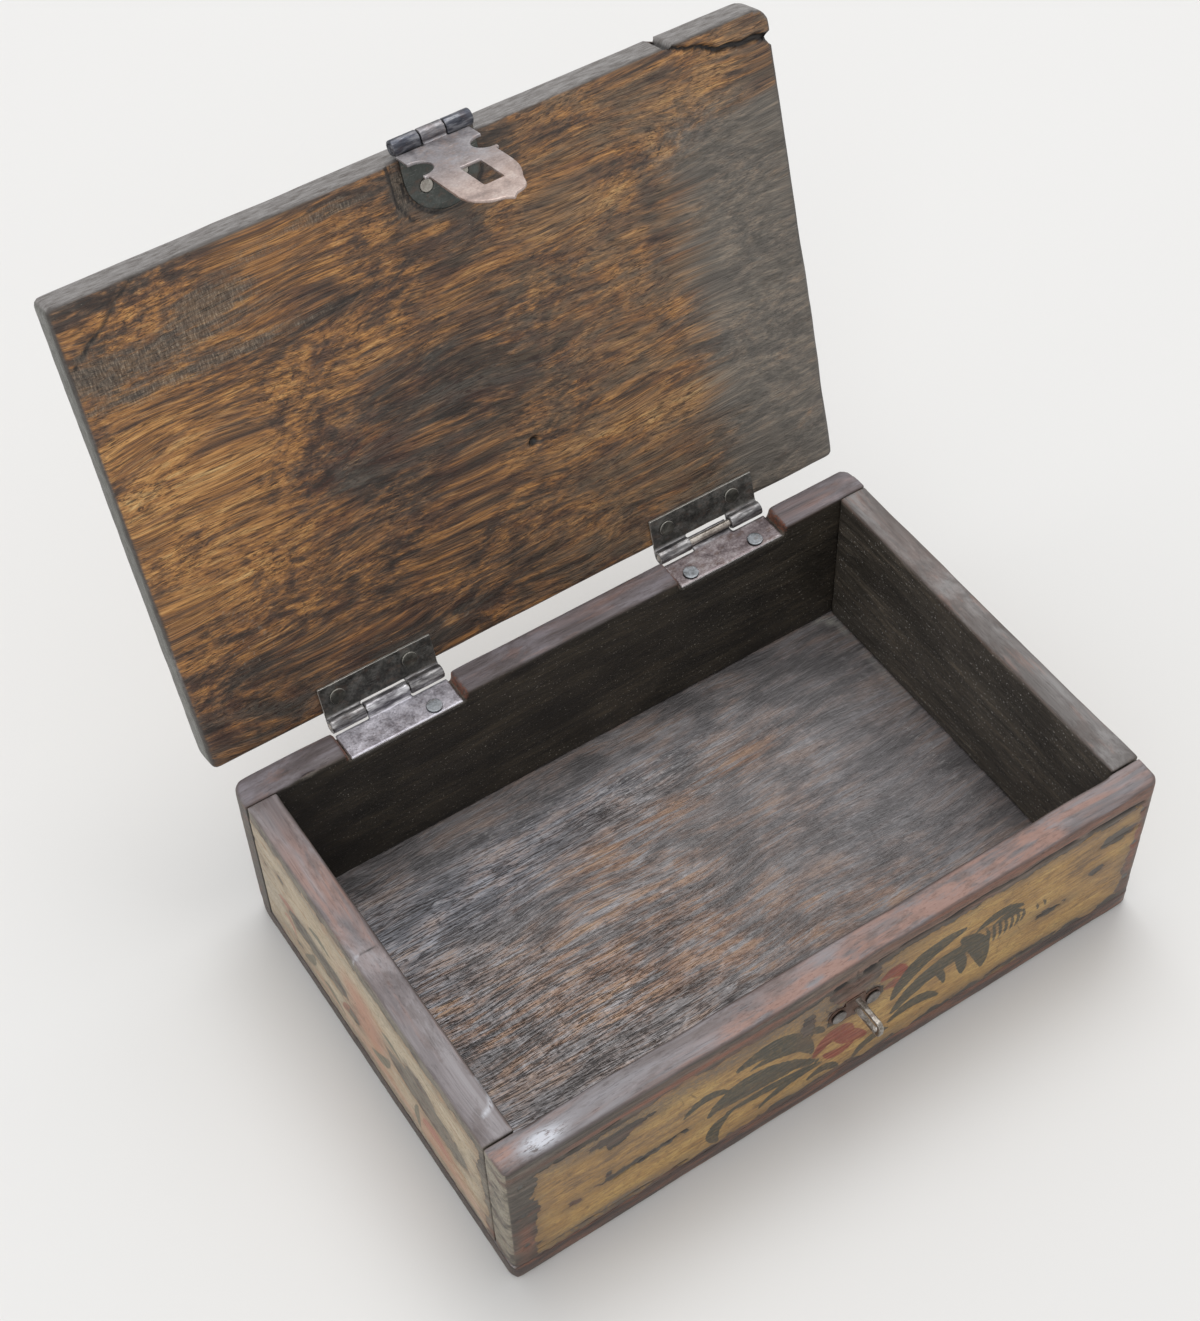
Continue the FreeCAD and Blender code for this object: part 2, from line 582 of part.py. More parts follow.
def loop_holes(name):
    """Two mortises for the legs of the staple."""
    holes = []
    for number, side in enumerate((-1, 1), start=1):
        middle = "staple_height + %d * (loop_height / 2 - loop_thick / 2)" % side
        holes.append(block("%s_leg_hole_%d" % (name, number),
                           ("loop_width + 2 * nail_fit", "loop_in + tool_overrun",
                            "loop_thick + 2 * nail_fit"),
                           ("loop_x - loop_width / 2 - nail_fit", "front_y - tool_overrun",
                            "%s - loop_thick / 2 - nail_fit" % middle)))
    return holes


def make_staple():
    """The staple that the slot drops over, the strap round its legs, and two nails."""
    blank = strap_blank("staple_strap_blank", "0", "front_y", "strap_thick")
    tools = loop_holes("strap")
    for number, side in enumerate((-1, 1), start=1):
        tools.append(rod("strap_hole_%d" % number, "nail_radius + nail_fit",
                         "strap_thick + 2 * tool_overrun", ALONG_Y,
                         ("staple_place + %d * strap_out" % side, "front_y - tool_overrun", "strap_z")))
    cut("staple_strap", blank, tools)

    nails = []
    for number, side in enumerate((-1, 1), start=1):
        nails.append(nail("strap_nail_%d" % number, ("strap_head_radius", "nail_radius"),
                          ("nail_head_thick", "strap_nail_length"), ALONG_Y,
                          ("staple_place + %d * strap_out" % side, "front_y", "strap_z")))
    group("staple_nails", nails)

    outer = block("loop_outer", ("loop_width", "loop_out + loop_in", "loop_height"),
                  ("loop_x - loop_width / 2", "front_y - loop_out", "staple_height - loop_height / 2"))
    inner = block("loop_inner",
                  ("loop_width + 2 * tool_overrun", "loop_out + loop_in - loop_thick + tool_overrun",
                   "loop_height - 2 * loop_thick"),
                  ("loop_x - loop_width / 2 - tool_overrun", "front_y - loop_out + loop_thick",
                   "staple_height - loop_height / 2 + loop_thick"))
    doc.recompute()
    bends = []
    for solid, radius in ((outer, sheet.get("loop_bend")),
                          (inner, sheet.get("loop_bend") - sheet.get("loop_thick"))):
        lowest = solid.Shape.BoundBox.YMin
        edges = []
        for number, edge in enumerate(solid.Shape.Edges, start=1):
            first, last = edge.Vertexes[0].Point, edge.Vertexes[-1].Point
            across = abs(first.x - last.x) > solid.Shape.BoundBox.XLength / 2
            near_end = abs(edge.CenterOfMass.y - lowest) < sheet.get("loop_thick") / 2
            if across and near_end:
                edges.append((number, radius, radius))
        bend = doc.addObject("Part::Fillet", solid.Name + "_bent")
        bend.Base = solid
        bend.Edges = edges
        bends.append(bend)
    cut("staple_loop", bends[0], [bends[1]])


HINGE_NAIL_HOLES = {
    side: {leaf: hinge_nail_holes(side, leaf) for leaf in ("box", "lid")} for side in HINGES
}
make_body(make_brads())
make_hinges()
make_lid()
make_hasp_plate()
make_flap()
make_staple()
doc.recompute()

PIECES = [
    "base_board", "front_wall", "back_wall", "left_wall", "right_wall",
    "front_corner_nails", "back_corner_nails", "base_nails",
    "left_hinge_box_leaf", "left_hinge_lid_leaf", "left_hinge_pin",
    "left_hinge_box_nails", "left_hinge_lid_nails",
    "right_hinge_box_leaf", "right_hinge_lid_leaf", "right_hinge_pin",
    "right_hinge_box_nails", "right_hinge_lid_nails",
    "lid_board", "hasp_plate", "hasp_pin", "hasp_rivets", "hasp_flap",
    "staple_strap", "staple_loop", "staple_nails",
]


def check_and_write():
    """Every object recomputed without error, every piece a valid solid, then the files."""
    for item in doc.Objects:
        if "Invalid" in item.State or "Error" in item.State:
            raise RuntimeError("%s did not compute: %s" % (item.Name, item.State))
    os.makedirs("parts", exist_ok=True)
    for name in PIECES:
        item = doc.getObject(name)
        item.Label = name
        shape = item.Shape
        if shape.isNull() or not shape.isValid() or not shape.Solids:
            raise RuntimeError("%s has no valid solid" % name)
        print("%-24s %3d solids %10.1f mm3" % (name, len(shape.Solids), shape.Volume))
    for name in PIECES:
        doc.getObject(name).Shape.exportStep("parts/%s.step" % name)


check_and_write()
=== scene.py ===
import itertools
import json
import math
from types import SimpleNamespace

import bpy
import numpy as np
from mathutils import Matrix, Quaternion, Vector


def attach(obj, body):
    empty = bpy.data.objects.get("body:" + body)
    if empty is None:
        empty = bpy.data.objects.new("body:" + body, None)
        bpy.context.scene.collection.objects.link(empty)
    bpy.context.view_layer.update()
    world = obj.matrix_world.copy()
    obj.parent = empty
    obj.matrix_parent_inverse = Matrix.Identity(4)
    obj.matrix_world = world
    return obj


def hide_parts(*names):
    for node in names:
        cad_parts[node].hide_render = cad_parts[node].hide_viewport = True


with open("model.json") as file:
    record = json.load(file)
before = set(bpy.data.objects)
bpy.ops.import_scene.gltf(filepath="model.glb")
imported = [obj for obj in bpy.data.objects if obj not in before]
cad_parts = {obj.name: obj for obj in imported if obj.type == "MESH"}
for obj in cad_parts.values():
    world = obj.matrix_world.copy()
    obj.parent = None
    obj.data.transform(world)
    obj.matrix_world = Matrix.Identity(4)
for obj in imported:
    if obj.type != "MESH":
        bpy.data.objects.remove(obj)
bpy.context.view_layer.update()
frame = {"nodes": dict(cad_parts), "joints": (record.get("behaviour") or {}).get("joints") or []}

# Bottom board: one hardwood plank, planed on its upper face and nailed up into the walls.
# Its upper face is the floor of the box, stained once, greyed since, and rubbed brown in
# streaks where things slid over it; a sheen is painted into its colour, lighter where the
# grain is open and bluish in patches, with painted glints. Its edges show as the lowest
# band of the outside.

MM = 0.001
BOTTOM_PITCH = 1.3
BOTTOM_ARRIS = 1.5
# Waves of the worn face, as a depth, a size and a seed.
BOTTOM_RIPPLE = [(0.12, (34, 3.0, 9), 2), (0.1, (7, 1.6, 4), 3)]
BOTTOM_SCRATCHES = [((-59, 22), (-50, -66)), ((-95, 30), (-88, 4)), ((-20, -30), (14, -37))]
SCRATCH_WIDTH = 0.9
SCRATCH_DEPTH = 0.12
# Soft patches, as a middle, two half widths and a strength.
FLOOR_BROWN = [(-3, 28, 30, 11, 1.0), (-33, -25, 42, 12, 1.0), (44, 38, 17, 3.5, 1.8),
               (-96, -2, 16, 24, 0.7), (40, -40, 50, 14, 0.7), (-50, -6, 46, 20, 0.7),
               (10, 0, 60, 30, 0.4)]
FLOOR_SMOOTH = [(30, 24, 24, 5, 1.2), (92, 0, 26, 60, 1.0), (48, -8, 40, 14, 0.5)]
FLOOR_SCUFFS = [(8, 50, 30, 9, 1.0), (-45, 60, 38, 8, 0.6), (108, 0, 5, 60, 0.6)]
FLOOR_HATCHED = [(-84, -16, 30, 22, 1.0), (-60, -50, 30, 18, 0.7), (70, 40, 40, 20, 0.3)]
FLOOR_CRUMBS = [(115.5, 72, 1.8, 1.4, 1.6), (112, 74.5, 2.4, 0.9, 1.2), (117, 66, 0.8, 4, 0.9),
                (117, 40, 0.7, 12, 0.6)]
# Patches where a lighter, bluish sheen is painted over the greyed floor.
FLOOR_BLUISH_SHEEN = [(-66, 42, 44, 16, 0.9), (-104, 20, 16, 40, 0.6), (-4, 54, 50, 8, 0.5),
              (80, -10, 40, 50, 0.35), (-110, -60, 20, 20, 0.6)]
# Places of open grain, where the floor is also painted lighter as a sheen.
FLOOR_OPEN_GRAIN_AND_SHEEN = [(-100, 0, 44, 80, 1.0), (-60, -50, 50, 34, 1.0), (-20, 46, 60, 14, 0.7),
                    (10, -60, 60, 14, 0.6), (-20, 0, 34, 30, 0.4)]
LATTICE_MIXERS = (374761393, 668265263, 1274126177)
SEED_STEP = 17.3


def lattice(cell):
    """A steady number from 0 to 1 for every cell of a cubic lattice."""
    mixed = sum(cell[:, axis] * mixer for axis, mixer in enumerate(LATTICE_MIXERS))
    mixed = (mixed ^ (mixed >> 13)) * LATTICE_MIXERS[2]
    return ((mixed ^ (mixed >> 16)) & 0xFFFFFF) / 0xFFFFFF


def uneven(points, spacing, seed=0):
    """Soft unevenness from 0 to 1, with swellings about as far apart as the spacing."""
    place = points / np.array(spacing) + seed * SEED_STEP
    cell = np.floor(place).astype(np.int64)
    part = place - cell
    part = part * part * (3 - 2 * part)
    total = np.zeros(len(points))
    for corner in itertools.product((0, 1), repeat=3):
        share = np.prod(np.where(corner, part, 1 - part), axis=1)
        total += share * lattice(cell + np.array(corner))
    return total


def patches(flat, places):
    """How far each point of a face lies in soft oval patches, each a middle, two half
    widths and a strength."""
    total = np.zeros(len(flat))
    for x, y, half_x, half_y, strength in places:
        total += strength * np.exp(-((flat[:, 0] - x) / half_x) ** 2 - ((flat[:, 1] - y) / half_y) ** 2)
    return total


def rippled(points, waves):
    """The depths left by the plane and by shrinking, each wave a depth, a size and a seed."""
    return sum(depth * uneven(points, size, seed) for depth, size, seed in waves)


def near(distance, reach, most=1):
    """Falls from 1, or from the most, to 0 as the distance grows to the reach."""
    return np.clip(1 - distance / reach, 0, most)


def rises(value, start, width):
    """Rises from 0 at the start to 1 at a width beyond it."""
    return np.clip((value - start) / width, 0, 1)


def from_lines(flat, lines):
    """The distance of each point of a face from the nearest of some lines, each given by
    the corners it runs through."""
    nearest = np.full(len(flat), np.inf)
    for corners in lines:
        for start, end in zip(corners, corners[1:]):
            start, run = np.array(start, float), np.subtract(end, start)
            share = np.clip((flat - start) @ run / (run @ run), 0, 1)
            nearest = np.minimum(nearest, np.linalg.norm(flat - start - share[:, None] * run, axis=1))
    return nearest


class Worn:
    """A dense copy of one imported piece, laid square, which is worn by moving its points
    inwards. Its lengths are in millimetres."""

    def __init__(self, name, node, pitch, laid=None):
        self.node = node
        self.laid = laid or Matrix.Identity(4)
        blank = frame["nodes"][node].data.copy()
        blank.materials.clear()
        blank.transform(self.laid)
        self.object = bpy.data.objects.new(name, blank)
        bpy.context.scene.collection.objects.link(self.object)
        even = self.object.modifiers.new("even", "REMESH")
        even.mode = "VOXEL"
        even.voxel_size = pitch * MM
        drawn = self.object.evaluated_get(bpy.context.evaluated_depsgraph_get())
        self.mesh = bpy.data.meshes.new_from_object(drawn)
        self.mesh.name = name
        self.object.modifiers.clear()
        self.object.data = self.mesh
        bpy.data.meshes.remove(blank)
        self.points = self.read(self.mesh.vertices, "co", 3) / MM
        self.normals = self.read(self.mesh.vertex_normals, "vector", 3)
        self.edges = self.read(self.mesh.edges, "vertices", 2, np.int32)
        self.start = self.points.copy()
        self.pitch = pitch
        self.worn = np.zeros(len(self.points))

    def read(self, items, field, width, kind=np.float32):
        values = np.empty(len(items) * width, kind)
        items.foreach_get(field, values)
        values = values.reshape(-1, width)
        return values if kind == np.int32 else values.astype(float)

    def wear(self, amount, rounds):
        """Rounds the edges: each round draws every point towards its neighbours."""
        first, second = self.edges.T
        count = len(self.points)
        shares = np.bincount(self.edges.ravel(), minlength=count)
        for _ in range(rounds):
            for axis in range(3):
                along = self.points[:, axis]
                drawn = np.bincount(first, along[second], count)
                drawn += np.bincount(second, along[first], count)
                along += amount * (drawn / shares - along)
        self.worn = np.linalg.norm(self.points - self.start, axis=1) / self.pitch

    def sink(self, depth):
        self.points -= self.normals * np.maximum(depth, 0)[:, None]

    def mark(self, name, values):
        """Keeps one value, or one vector, for each point, for the finish to read."""
        vector = values.ndim == 2
        made = self.mesh.attributes.new(name, "FLOAT_VECTOR" if vector else "FLOAT", "POINT")
        made.data.foreach_set("vector" if vector else "value", values.astype(np.float32).ravel())

    def fit(self, material, body, grain=(0, 1, 2)):
        """Puts the worn piece in its place in the frame, under its finish."""
        self.mark("grain", self.start[:, list(grain)])
        self.mark("worn", self.worn)
        self.mesh.vertices.foreach_set("co", (self.points * MM).astype(np.float32).ravel())
        self.mesh.transform(self.laid.inverted())
        self.mesh.update()
        self.mesh.shade_smooth()
        self.mesh.materials.append(material)
        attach(self.object, body)
        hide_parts(self.node)


def light_of(colour):
    """Turns a colour written as it looks on a screen, red, green and blue from 0 to 255,
    into light. A socket, or a colour of four shares, stays as it is."""
    if not isinstance(colour, tuple) or len(colour) != 3:
        return colour
    shares = [value / 255 for value in colour]
    return tuple(s / 12.92 if s < 0.04045 else ((s + 0.055) / 1.055) ** 2.4 for s in shares) + (1,)


def even_grey(share):
    """A grey of one share, for shading other colours."""
    return (share, share, share, 1)


class Finish:
    """One surface finish: the textures that make its colour, shine and relief."""

    def __init__(self, name):
        self.material = bpy.data.materials.new(name)
        self.material.use_nodes = True
        self.tree = self.material.node_tree
        self.shader = self.tree.nodes["Principled BSDF"]

    def node(self, kind, inputs, **settings):
        made = self.tree.nodes.new("ShaderNode" + kind)
        for name, value in settings.items():
            setattr(made, name, value)
        for name, value in inputs.items():
            if isinstance(value, bpy.types.NodeSocket):
                self.tree.links.new(value, made.inputs[name])
            else:
                made.inputs[name].default_value = value
        return made

    def marked(self, name, field="Fac"):
        return self.node("Attribute", {}, attribute_name=name).outputs[field]

    def stretched(self, place, size):
        """The place with each direction shrunk by how long the pattern is that way."""
        scale = tuple(1 / length for length in size)
        return self.node("Mapping", {"Vector": place, "Scale": scale}).outputs[0]

    def noise(self, place, size, detail=4.0, roughness=0.55, distortion=0.0, field="Fac"):
        inputs = {"Vector": self.stretched(place, size), "Scale": 1.0, "Detail": detail,
                  "Roughness": roughness, "Distortion": distortion}
        return self.node("TexNoise", inputs).outputs[field]

    def cells(self, place, size, feature="F1"):
        inputs = {"Vector": self.stretched(place, size), "Scale": 1.0}
        return self.node("TexVoronoi", inputs, feature=feature).outputs["Distance"]

    def reckon(self, operation, first, second, third=0.0, clamp=False):
        inputs = {0: first, 1: second, 2: third}
        return self.node("Math", inputs, operation=operation, use_clamp=clamp).outputs[0]

    def times(self, first, second, clamp=False):
        return self.reckon("MULTIPLY", first, second, clamp=clamp)

    def times_plus(self, first, second, third, clamp=False):
        return self.reckon("MULTIPLY_ADD", first, second, third, clamp)

    def plus(self, first, second):
        return self.reckon("ADD", first, second)

    def less(self, first, second):
        return self.reckon("SUBTRACT", first, second)

    def larger(self, first, second):
        return self.reckon("MAXIMUM", first, second)

    def between(self, value, low, high, bottom=0.0, top=1.0):
        """A soft step from bottom to top as the value goes from low to high."""
        inputs = {"Value": value, "From Min": low, "From Max": high, "To Min": bottom, "To Max": top}
        return self.node("MapRange", inputs, interpolation_type="SMOOTHSTEP").outputs[0]

    def ramp(self, value, *stops):
        """Goes through colours as the value passes their places."""
        made = self.node("ValToRGB", {"Fac": value})
        elements = made.color_ramp.elements
        stops = [(position, light_of(colour)) for position, colour in stops]
        elements[0].position, elements[0].color = stops[0]
        elements[1].position, elements[1].color = stops[-1]
        for position, colour in stops[1:-1]:
            elements.new(position).color = colour
        return made.outputs["Color"]

    def three_tones(self, value, low, high, colours):
        return self.ramp(value, (low, colours[0]), ((low + high) / 2, colours[1]), (high, colours[2]))

    def mix(self, share, first, second, amount=None, blend="MIX"):
        """The first colour with the second laid over it, by a share, or a share of an amount."""
        if amount is not None:
            share = self.times(share, amount)
        inputs = {0: share, 6: light_of(first), 7: light_of(second)}
        return self.node("Mix", inputs, data_type="RGBA", blend_type=blend).outputs[2]

    def shade(self, colour, share):
        """The colour darkened or lightened by a grey share."""
        return self.mix(1.0, colour, share, blend="MULTIPLY")

    def relief(self, height, depth, below=None):
        inputs = {"Height": height, "Distance": depth * MM, "Strength": 1.0}
        if below is not None:
            inputs["Normal"] = below
        return self.node("Bump", inputs).outputs[0]

    def set(self, colour, rough, normal, metal=None):
        links = {"Base Color": colour, "Roughness": rough, "Normal": normal}
        if metal is not None:
            links["Metallic"] = metal
        for name, socket in links.items():
            self.tree.links.new(socket, self.shader.inputs[name])
        return self.material


def grain_of(finish, coarse=1.0, seed=0.0, length=1.0):
    """The figure of a hardwood board: the place along its grain with a slow sway, bands,
    streaks, fibres and open pores."""
    grain = finish.marked("grain", "Vector")
    slow = finish.noise(grain, (70, 34, 34), 1.0, field="Color")
    sway = finish.node("VectorMath", {0: slow, 1: (seed * 31, 9 * coarse, 6 * coarse), 2: grain},
                       operation="MULTIPLY_ADD").outputs[0]
    bands = finish.noise(sway, (130, 9 * coarse, 9 * coarse), 3.0, 0.6)
    streaks = finish.noise(sway, (30 * length, 1.7 * coarse, 1.7 * coarse), 5.0, 0.64, 0.3)
    fibres = finish.noise(sway, (6 * length, 0.42, 0.42), 2.0, 0.6)
    pores = finish.noise(sway, (3.4, 0.36, 0.5), 1.0, 0.5)
    return SimpleNamespace(place=grain, sway=sway, bands=finish.between(bands, 0.3, 0.7),
                           streaks=finish.between(streaks, 0.3, 0.7),
                           fibres=finish.between(fibres, 0.3, 0.7),
                           pores=finish.between(pores, 0.6, 0.7))


def fibrous(finish, figure, colour, dark, light):
    """The colour, darker and lighter from fibre to fibre."""
    shades = finish.ramp(figure.fibres, (0.0, even_grey(dark)), (1.0, even_grey(light)))
    return finish.shade(colour, shades)


def grain_height(finish, figure, pores, pore, fibre, streak):
    """The height of worn wood: its streaks and fibres stand out, its pores are sunk."""
    raised = finish.times_plus(figure.fibres, fibre, finish.times(figure.streaks, streak))
    return finish.times_plus(pores, -pore, raised)


def bottom_finish():
    finish = Finish("greyed floor wood")
    figure = grain_of(finish, coarse=1.1, seed=1)
    place, sway = figure.place, figure.sway
    open_grain_and_sheen = finish.marked("open")
    tone = finish.times_plus(figure.streaks, 0.5, finish.times(figure.bands, 0.4))
    cloud = finish.noise(sway, (26, 9, 9), 5.0, 0.66)
    clouded = finish.times(finish.between(cloud, 0.34, 0.66), 0.5)
    level = finish.times_plus(tone, finish.between(open_grain_and_sheen, 0.0, 1.0, 0.3, 0.6), clouded)
    grey = finish.ramp(level, (0.12, (92, 88, 88)), (0.45, (132, 127, 127)), (0.85, (168, 165, 168)))
    # Painted sheen: lighter bluish greys laid over the grey in the marked patches.
    bluish_sheen = finish.ramp(level, (0.12, (82, 83, 90)), (0.45, (123, 125, 133)), (0.85, (175, 177, 187)))
    grey = finish.mix(finish.marked("bluish_sheen"), grey, bluish_sheen)
    rubbed = finish.ramp(level, (0.12, (90, 70, 58)), (0.42, (140, 110, 93)),
                         (0.7, (168, 136, 112)), (0.9, (190, 158, 126)))
    streaky = finish.noise(sway, (20, 2.2, 3), 5.0, 0.68)
    browned = finish.between(cloud, 0.4, 0.6, 0.0, 0.5)
    brown = finish.times_plus(finish.marked("brown"), 0.8, browned, clamp=True)
    brown = finish.times(brown, finish.between(streaky, 0.4, 0.58))
    colour = finish.mix(brown, grey, rubbed)
    smooth = finish.times(finish.marked("smooth"), 0.7, clamp=True)
    smooth_tone = finish.ramp(level, (0.1, (98, 95, 96)), (0.9, (132, 128, 130)))
    colour = finish.mix(smooth, colour, smooth_tone)
    lump = finish.between(finish.noise(place, (2.6, 1.3, 1.3), 3.0, 0.7), 0.53, 0.66)
    white = finish.times(finish.marked("scuffed"), lump, clamp=True)
    colour = finish.mix(white, colour, (188, 184, 182), 0.6)
    glint = finish.between(finish.noise(sway, (10, 0.55, 0.9), 3.0, 0.62), 0.57, 0.64)
    glint = finish.times(glint, finish.between(open_grain_and_sheen, 0.0, 1.0, 0.25, 0.7))
    colour = finish.mix(glint, colour, (190, 188, 192), 0.7)
    dashes = finish.between(finish.noise(sway, (15, 0.65, 0.9), 3.0, 0.62), 0.54, 0.6)
    pores = finish.larger(figure.pores, dashes)
    pores = finish.times(pores, finish.between(open_grain_and_sheen, 0.0, 1.0, 0.22, 1.0))
    colour = finish.mix(pores, colour, (52, 43, 40), 0.82)
    colour = finish.mix(finish.marked("crumb"), colour, (178, 175, 168))
    colour = fibrous(finish, figure, colour, 0.8, 1.12)
    saw = finish.between(finish.noise(place, (1.3, 50, 8), 3.0), 0.36, 0.64, 0.72, 1.12)
    colour = finish.shade(colour, finish.mix(finish.marked("hatched"), even_grey(1), saw))
    # Painted sheen: the floor is made lighter where the grain is open.
    colour = finish.shade(colour, finish.between(open_grain_and_sheen, 0.0, 1.0, 1.06, 1.24))
    under = finish.ramp(tone, (0.1, (62, 48, 38)), (0.5, (92, 72, 55)), (0.9, (124, 100, 78)))
    colour = finish.mix(finish.marked("underside"), colour, under)
    bare = finish.ramp(finish.noise(sway, (26, 2.6, 2.6), 4.0, 0.65), (0.3, (52, 41, 37)),
                       (0.5, (80, 62, 55)), (0.6, (116, 76, 57)), (0.7, (104, 82, 70)))
    bare = finish.mix(finish.marked("end"), bare, (62, 52, 45))
    colour = finish.mix(finish.between(finish.marked("edge"), 0.35, 0.65), colour, bare)
    colour = finish.mix(finish.between(finish.marked("scratch"), 0.2, 0.8), colour, (52, 48, 47))
    height = grain_height(finish, figure, pores, 1.0, 0.5, 0.5)
    rough = finish.between(tone, 0.0, 1.0, 0.34, 0.55)
    finish.shader.inputs["Specular IOR Level"].default_value = 0.65
    return finish.set(colour, rough, finish.relief(height, 0.2))


bottom = Worn("bottom_plank", "base_board", BOTTOM_PITCH)
flat = bottom.points[:, :2]
top = bottom.points[:, 2].max()
on_top = bottom.start[:, 2] > top - 0.1
wear_here = 0.15 + 0.45 * uneven(bottom.points, 18, 1)
bottom.wear(wear_here * (bottom.points[:, 2] < top - BOTTOM_ARRIS) + 0.08, 6)
scratch = near(from_lines(flat, BOTTOM_SCRATCHES), SCRATCH_WIDTH) * uneven(bottom.start, 5, 4) * on_top
bottom.sink(rippled(bottom.start, BOTTOM_RIPPLE) + SCRATCH_DEPTH * scratch)
crumbs = patches(flat, FLOOR_CRUMBS) * 2 * uneven(bottom.start, 1.6, 5)
bottom.mark("brown", patches(flat, FLOOR_BROWN))
bottom.mark("bluish_sheen", np.clip(patches(flat, FLOOR_BLUISH_SHEEN), 0, 0.85))
bottom.mark("smooth", patches(flat, FLOOR_SMOOTH))
bottom.mark("hatched", np.clip(patches(flat, FLOOR_HATCHED) + 0.12, 0, 1))
bottom.mark("crumb", np.clip(crumbs, 0, 0.9) * on_top)
bottom.mark("open", np.clip(patches(flat, FLOOR_OPEN_GRAIN_AND_SHEEN), 0, 1))
bottom.mark("scuffed", patches(flat, FLOOR_SCUFFS))
bottom.mark("scratch", scratch)
bottom.mark("underside", bottom.normals[:, 2] < -0.5)
bottom.mark("edge", np.abs(bottom.normals[:, 2]) < 0.8)
bottom.mark("end", 0.8 * (np.abs(bottom.normals[:, 0]) > 0.6))
bottom.fit(bottom_finish(), "box")

# Walls: four hardwood boards on edge. The front and back run the full length and are
# nailed to the ends of the side walls. Outside they carry an old brushed ground of ochre
# or cream oil paint inside bare dark borders; rim and inside are only stained.

FRONT_PITCH = 0.7
BACK_PITCH = 1.0
SIDE_PITCH = 0.9
PAINT_DEPTH = 0.18
# How far outside all paint, and outside all brush strokes, a bare point counts as.
BARE = -9.0
UNBRUSHED = -4.0
# How far wear and colour reach from the rim, and where the long walls wear at their ends.
RIM_EDGE = 1.2
RIM_FADE = 2.5
RIM_WEAR = 4
LONG_ENDS, LONG_END_WEAR = 122, 6
# Where the walls meet and shield each other, and how much they do.
LONG_JOINT, LONG_JOINT_DEPTH = 116, 4
SIDE_JOINT, SIDE_JOINT_WIDTH = 73, 2
SHIELDED = 0.8
# Painted fields as left, right, bottom and top edges, along the wall and up.
FRONT_FIELD = (-121.0, 122.5, 10.5, 64.0)
LEFT_FIELD = (-72.5, 80.0, 9.5, 67.5)
RIGHT_FIELD = (-79.0, 76.0, 10.0, 66.5)
# Places where the paint has gone, as middles and half widths.
FRONT_LOSS = [(-87, 57, 12, 3.2), (-40, 67, 30, 3.6), (64, 66, 60, 2.4), (-100, 66, 26, 2.6),
              (-89, 53.5, 4.5, 4), (-78, 31.8, 15, 1.6), (-106, 30, 1.8, 1.2),
              (-93, 36, 1.2, 1), (2.6, 62, 11, 9.5), (3.2, 47, 12.2, 6.2), (115, 52.6, 8.5, 3),
              (107, 38, 3, 2.2), (87, 30, 5.5, 1.7), (77, 10.8, 15, 1), (-124, 17, 6, 1.6),
              (-16, 52, 3, 9), (10, 70, 12, 4), (-121, 40, 2.6, 9), (-122, 58, 3, 6)]
LEFT_LOSS = [(-40, 40, 25, 7.5), (-35, 47, 9, 6), (33, 35.5, 19, 5.5), (46, 33, 9, 3),
             (12, 26, 4.5, 3.2), (69, 48, 2, 1.5), (57, 53, 1.7, 1.2), (76, 56, 3, 1.3),
             (52, 19.5, 4, 1.4), (24, 33, 3, 2.4)]
RIGHT_LOSS = [(20, 44, 17, 6), (-44, 30, 12, 4.5), (60, 20, 8, 3), (-66, 55, 5, 3)]
# Brush strokes as start, middle and end of a bent line and the half width of the brush.
FRONT_LEAVES = [
    ((-43, 51), (-22, 58), (-13.5, 33.4), 4.6), ((-38, 46), (-26, 48), (-17, 38), 2.2),
    ((-54, 32.4), (-41, 48), (-11, 25), 4.4), ((-53, 33), (-40, 33.5), (-20, 28.5), 1.8),
    ((-64, 41.2), (-56, 49.5), (-47, 41.2), 2.4), ((-51.2, 12), (-56.5, 21), (-45.5, 26.4), 2.9),
    ((-47, 27.4), (-28, 27), (-9, 22.2), 2.3), ((-34, 17), (-26, 24), (-11, 21.5), 2.0),
    ((-14.4, 15.6), (-7, 20.5), (-1.2, 11.2), 2.2), ((4.8, 11.4), (9, 19.5), (19, 17.6), 2.3),
    ((19.6, 36.4), (27, 54), (48, 53), 4.5), ((20.5, 27), (34, 43.5), (58, 38.6), 4.6),
    ((36, 39.5), (41, 33), (42, 25), 1.6), ((19.4, 21.4), (30, 29), (40, 19.2), 3.0),
    ((48, 47), (58, 38), (59, 21), 4.2), ((46, 40), (50, 32), (50, 24), 2.4),
    ((54, 46), (63, 53), (74, 45.5), 2.4), ((62, 44), (68, 46), (74, 42), 2.0),
    ((-17, 48.5), (-12, 47.5), (-9, 42), 1.9)]
FRONT_PETALS = [((-12, 29), (-5, 41), (3, 33), 3.8), ((-4, 36), (1, 28), (9, 23), 3.8),
                ((-8, 26), (-3, 20), (4, 22.5), 2.4), ((14, 52.5), (20, 57), (24, 47), 3.2),
                ((15.5, 46), (20, 48), (22, 42.4), 2.4)]
FRONT_COMB = [((58 + 2.7 * tooth, 45 - 0.3 * tooth), (61 + 2.6 * tooth, 38 - 0.2 * tooth),
               (60 + 2.3 * tooth, 31 + 0.7 * tooth), 0.8) for tooth in range(7)]
FRONT_COMB += [((80, 41), (82, 38), (81.4, 36), 0.6), ((83.4, 40.5), (85, 38), (84.6, 36.4), 0.6)]
LEFT_LEAVES = [((38, 47), (32, 50.5), (24, 47.5), 2), ((-11, 49), (-17, 51), (-23, 48), 1.7),
               ((48, 17), (41, 21), (39, 28), 2.3), ((0, 22), (-9, 24), (-13, 33), 2.6),
               ((-30, 15), (-28, 22), (-31, 31), 1.8), ((34, 19), (28, 22), (20, 16), 1.7)]
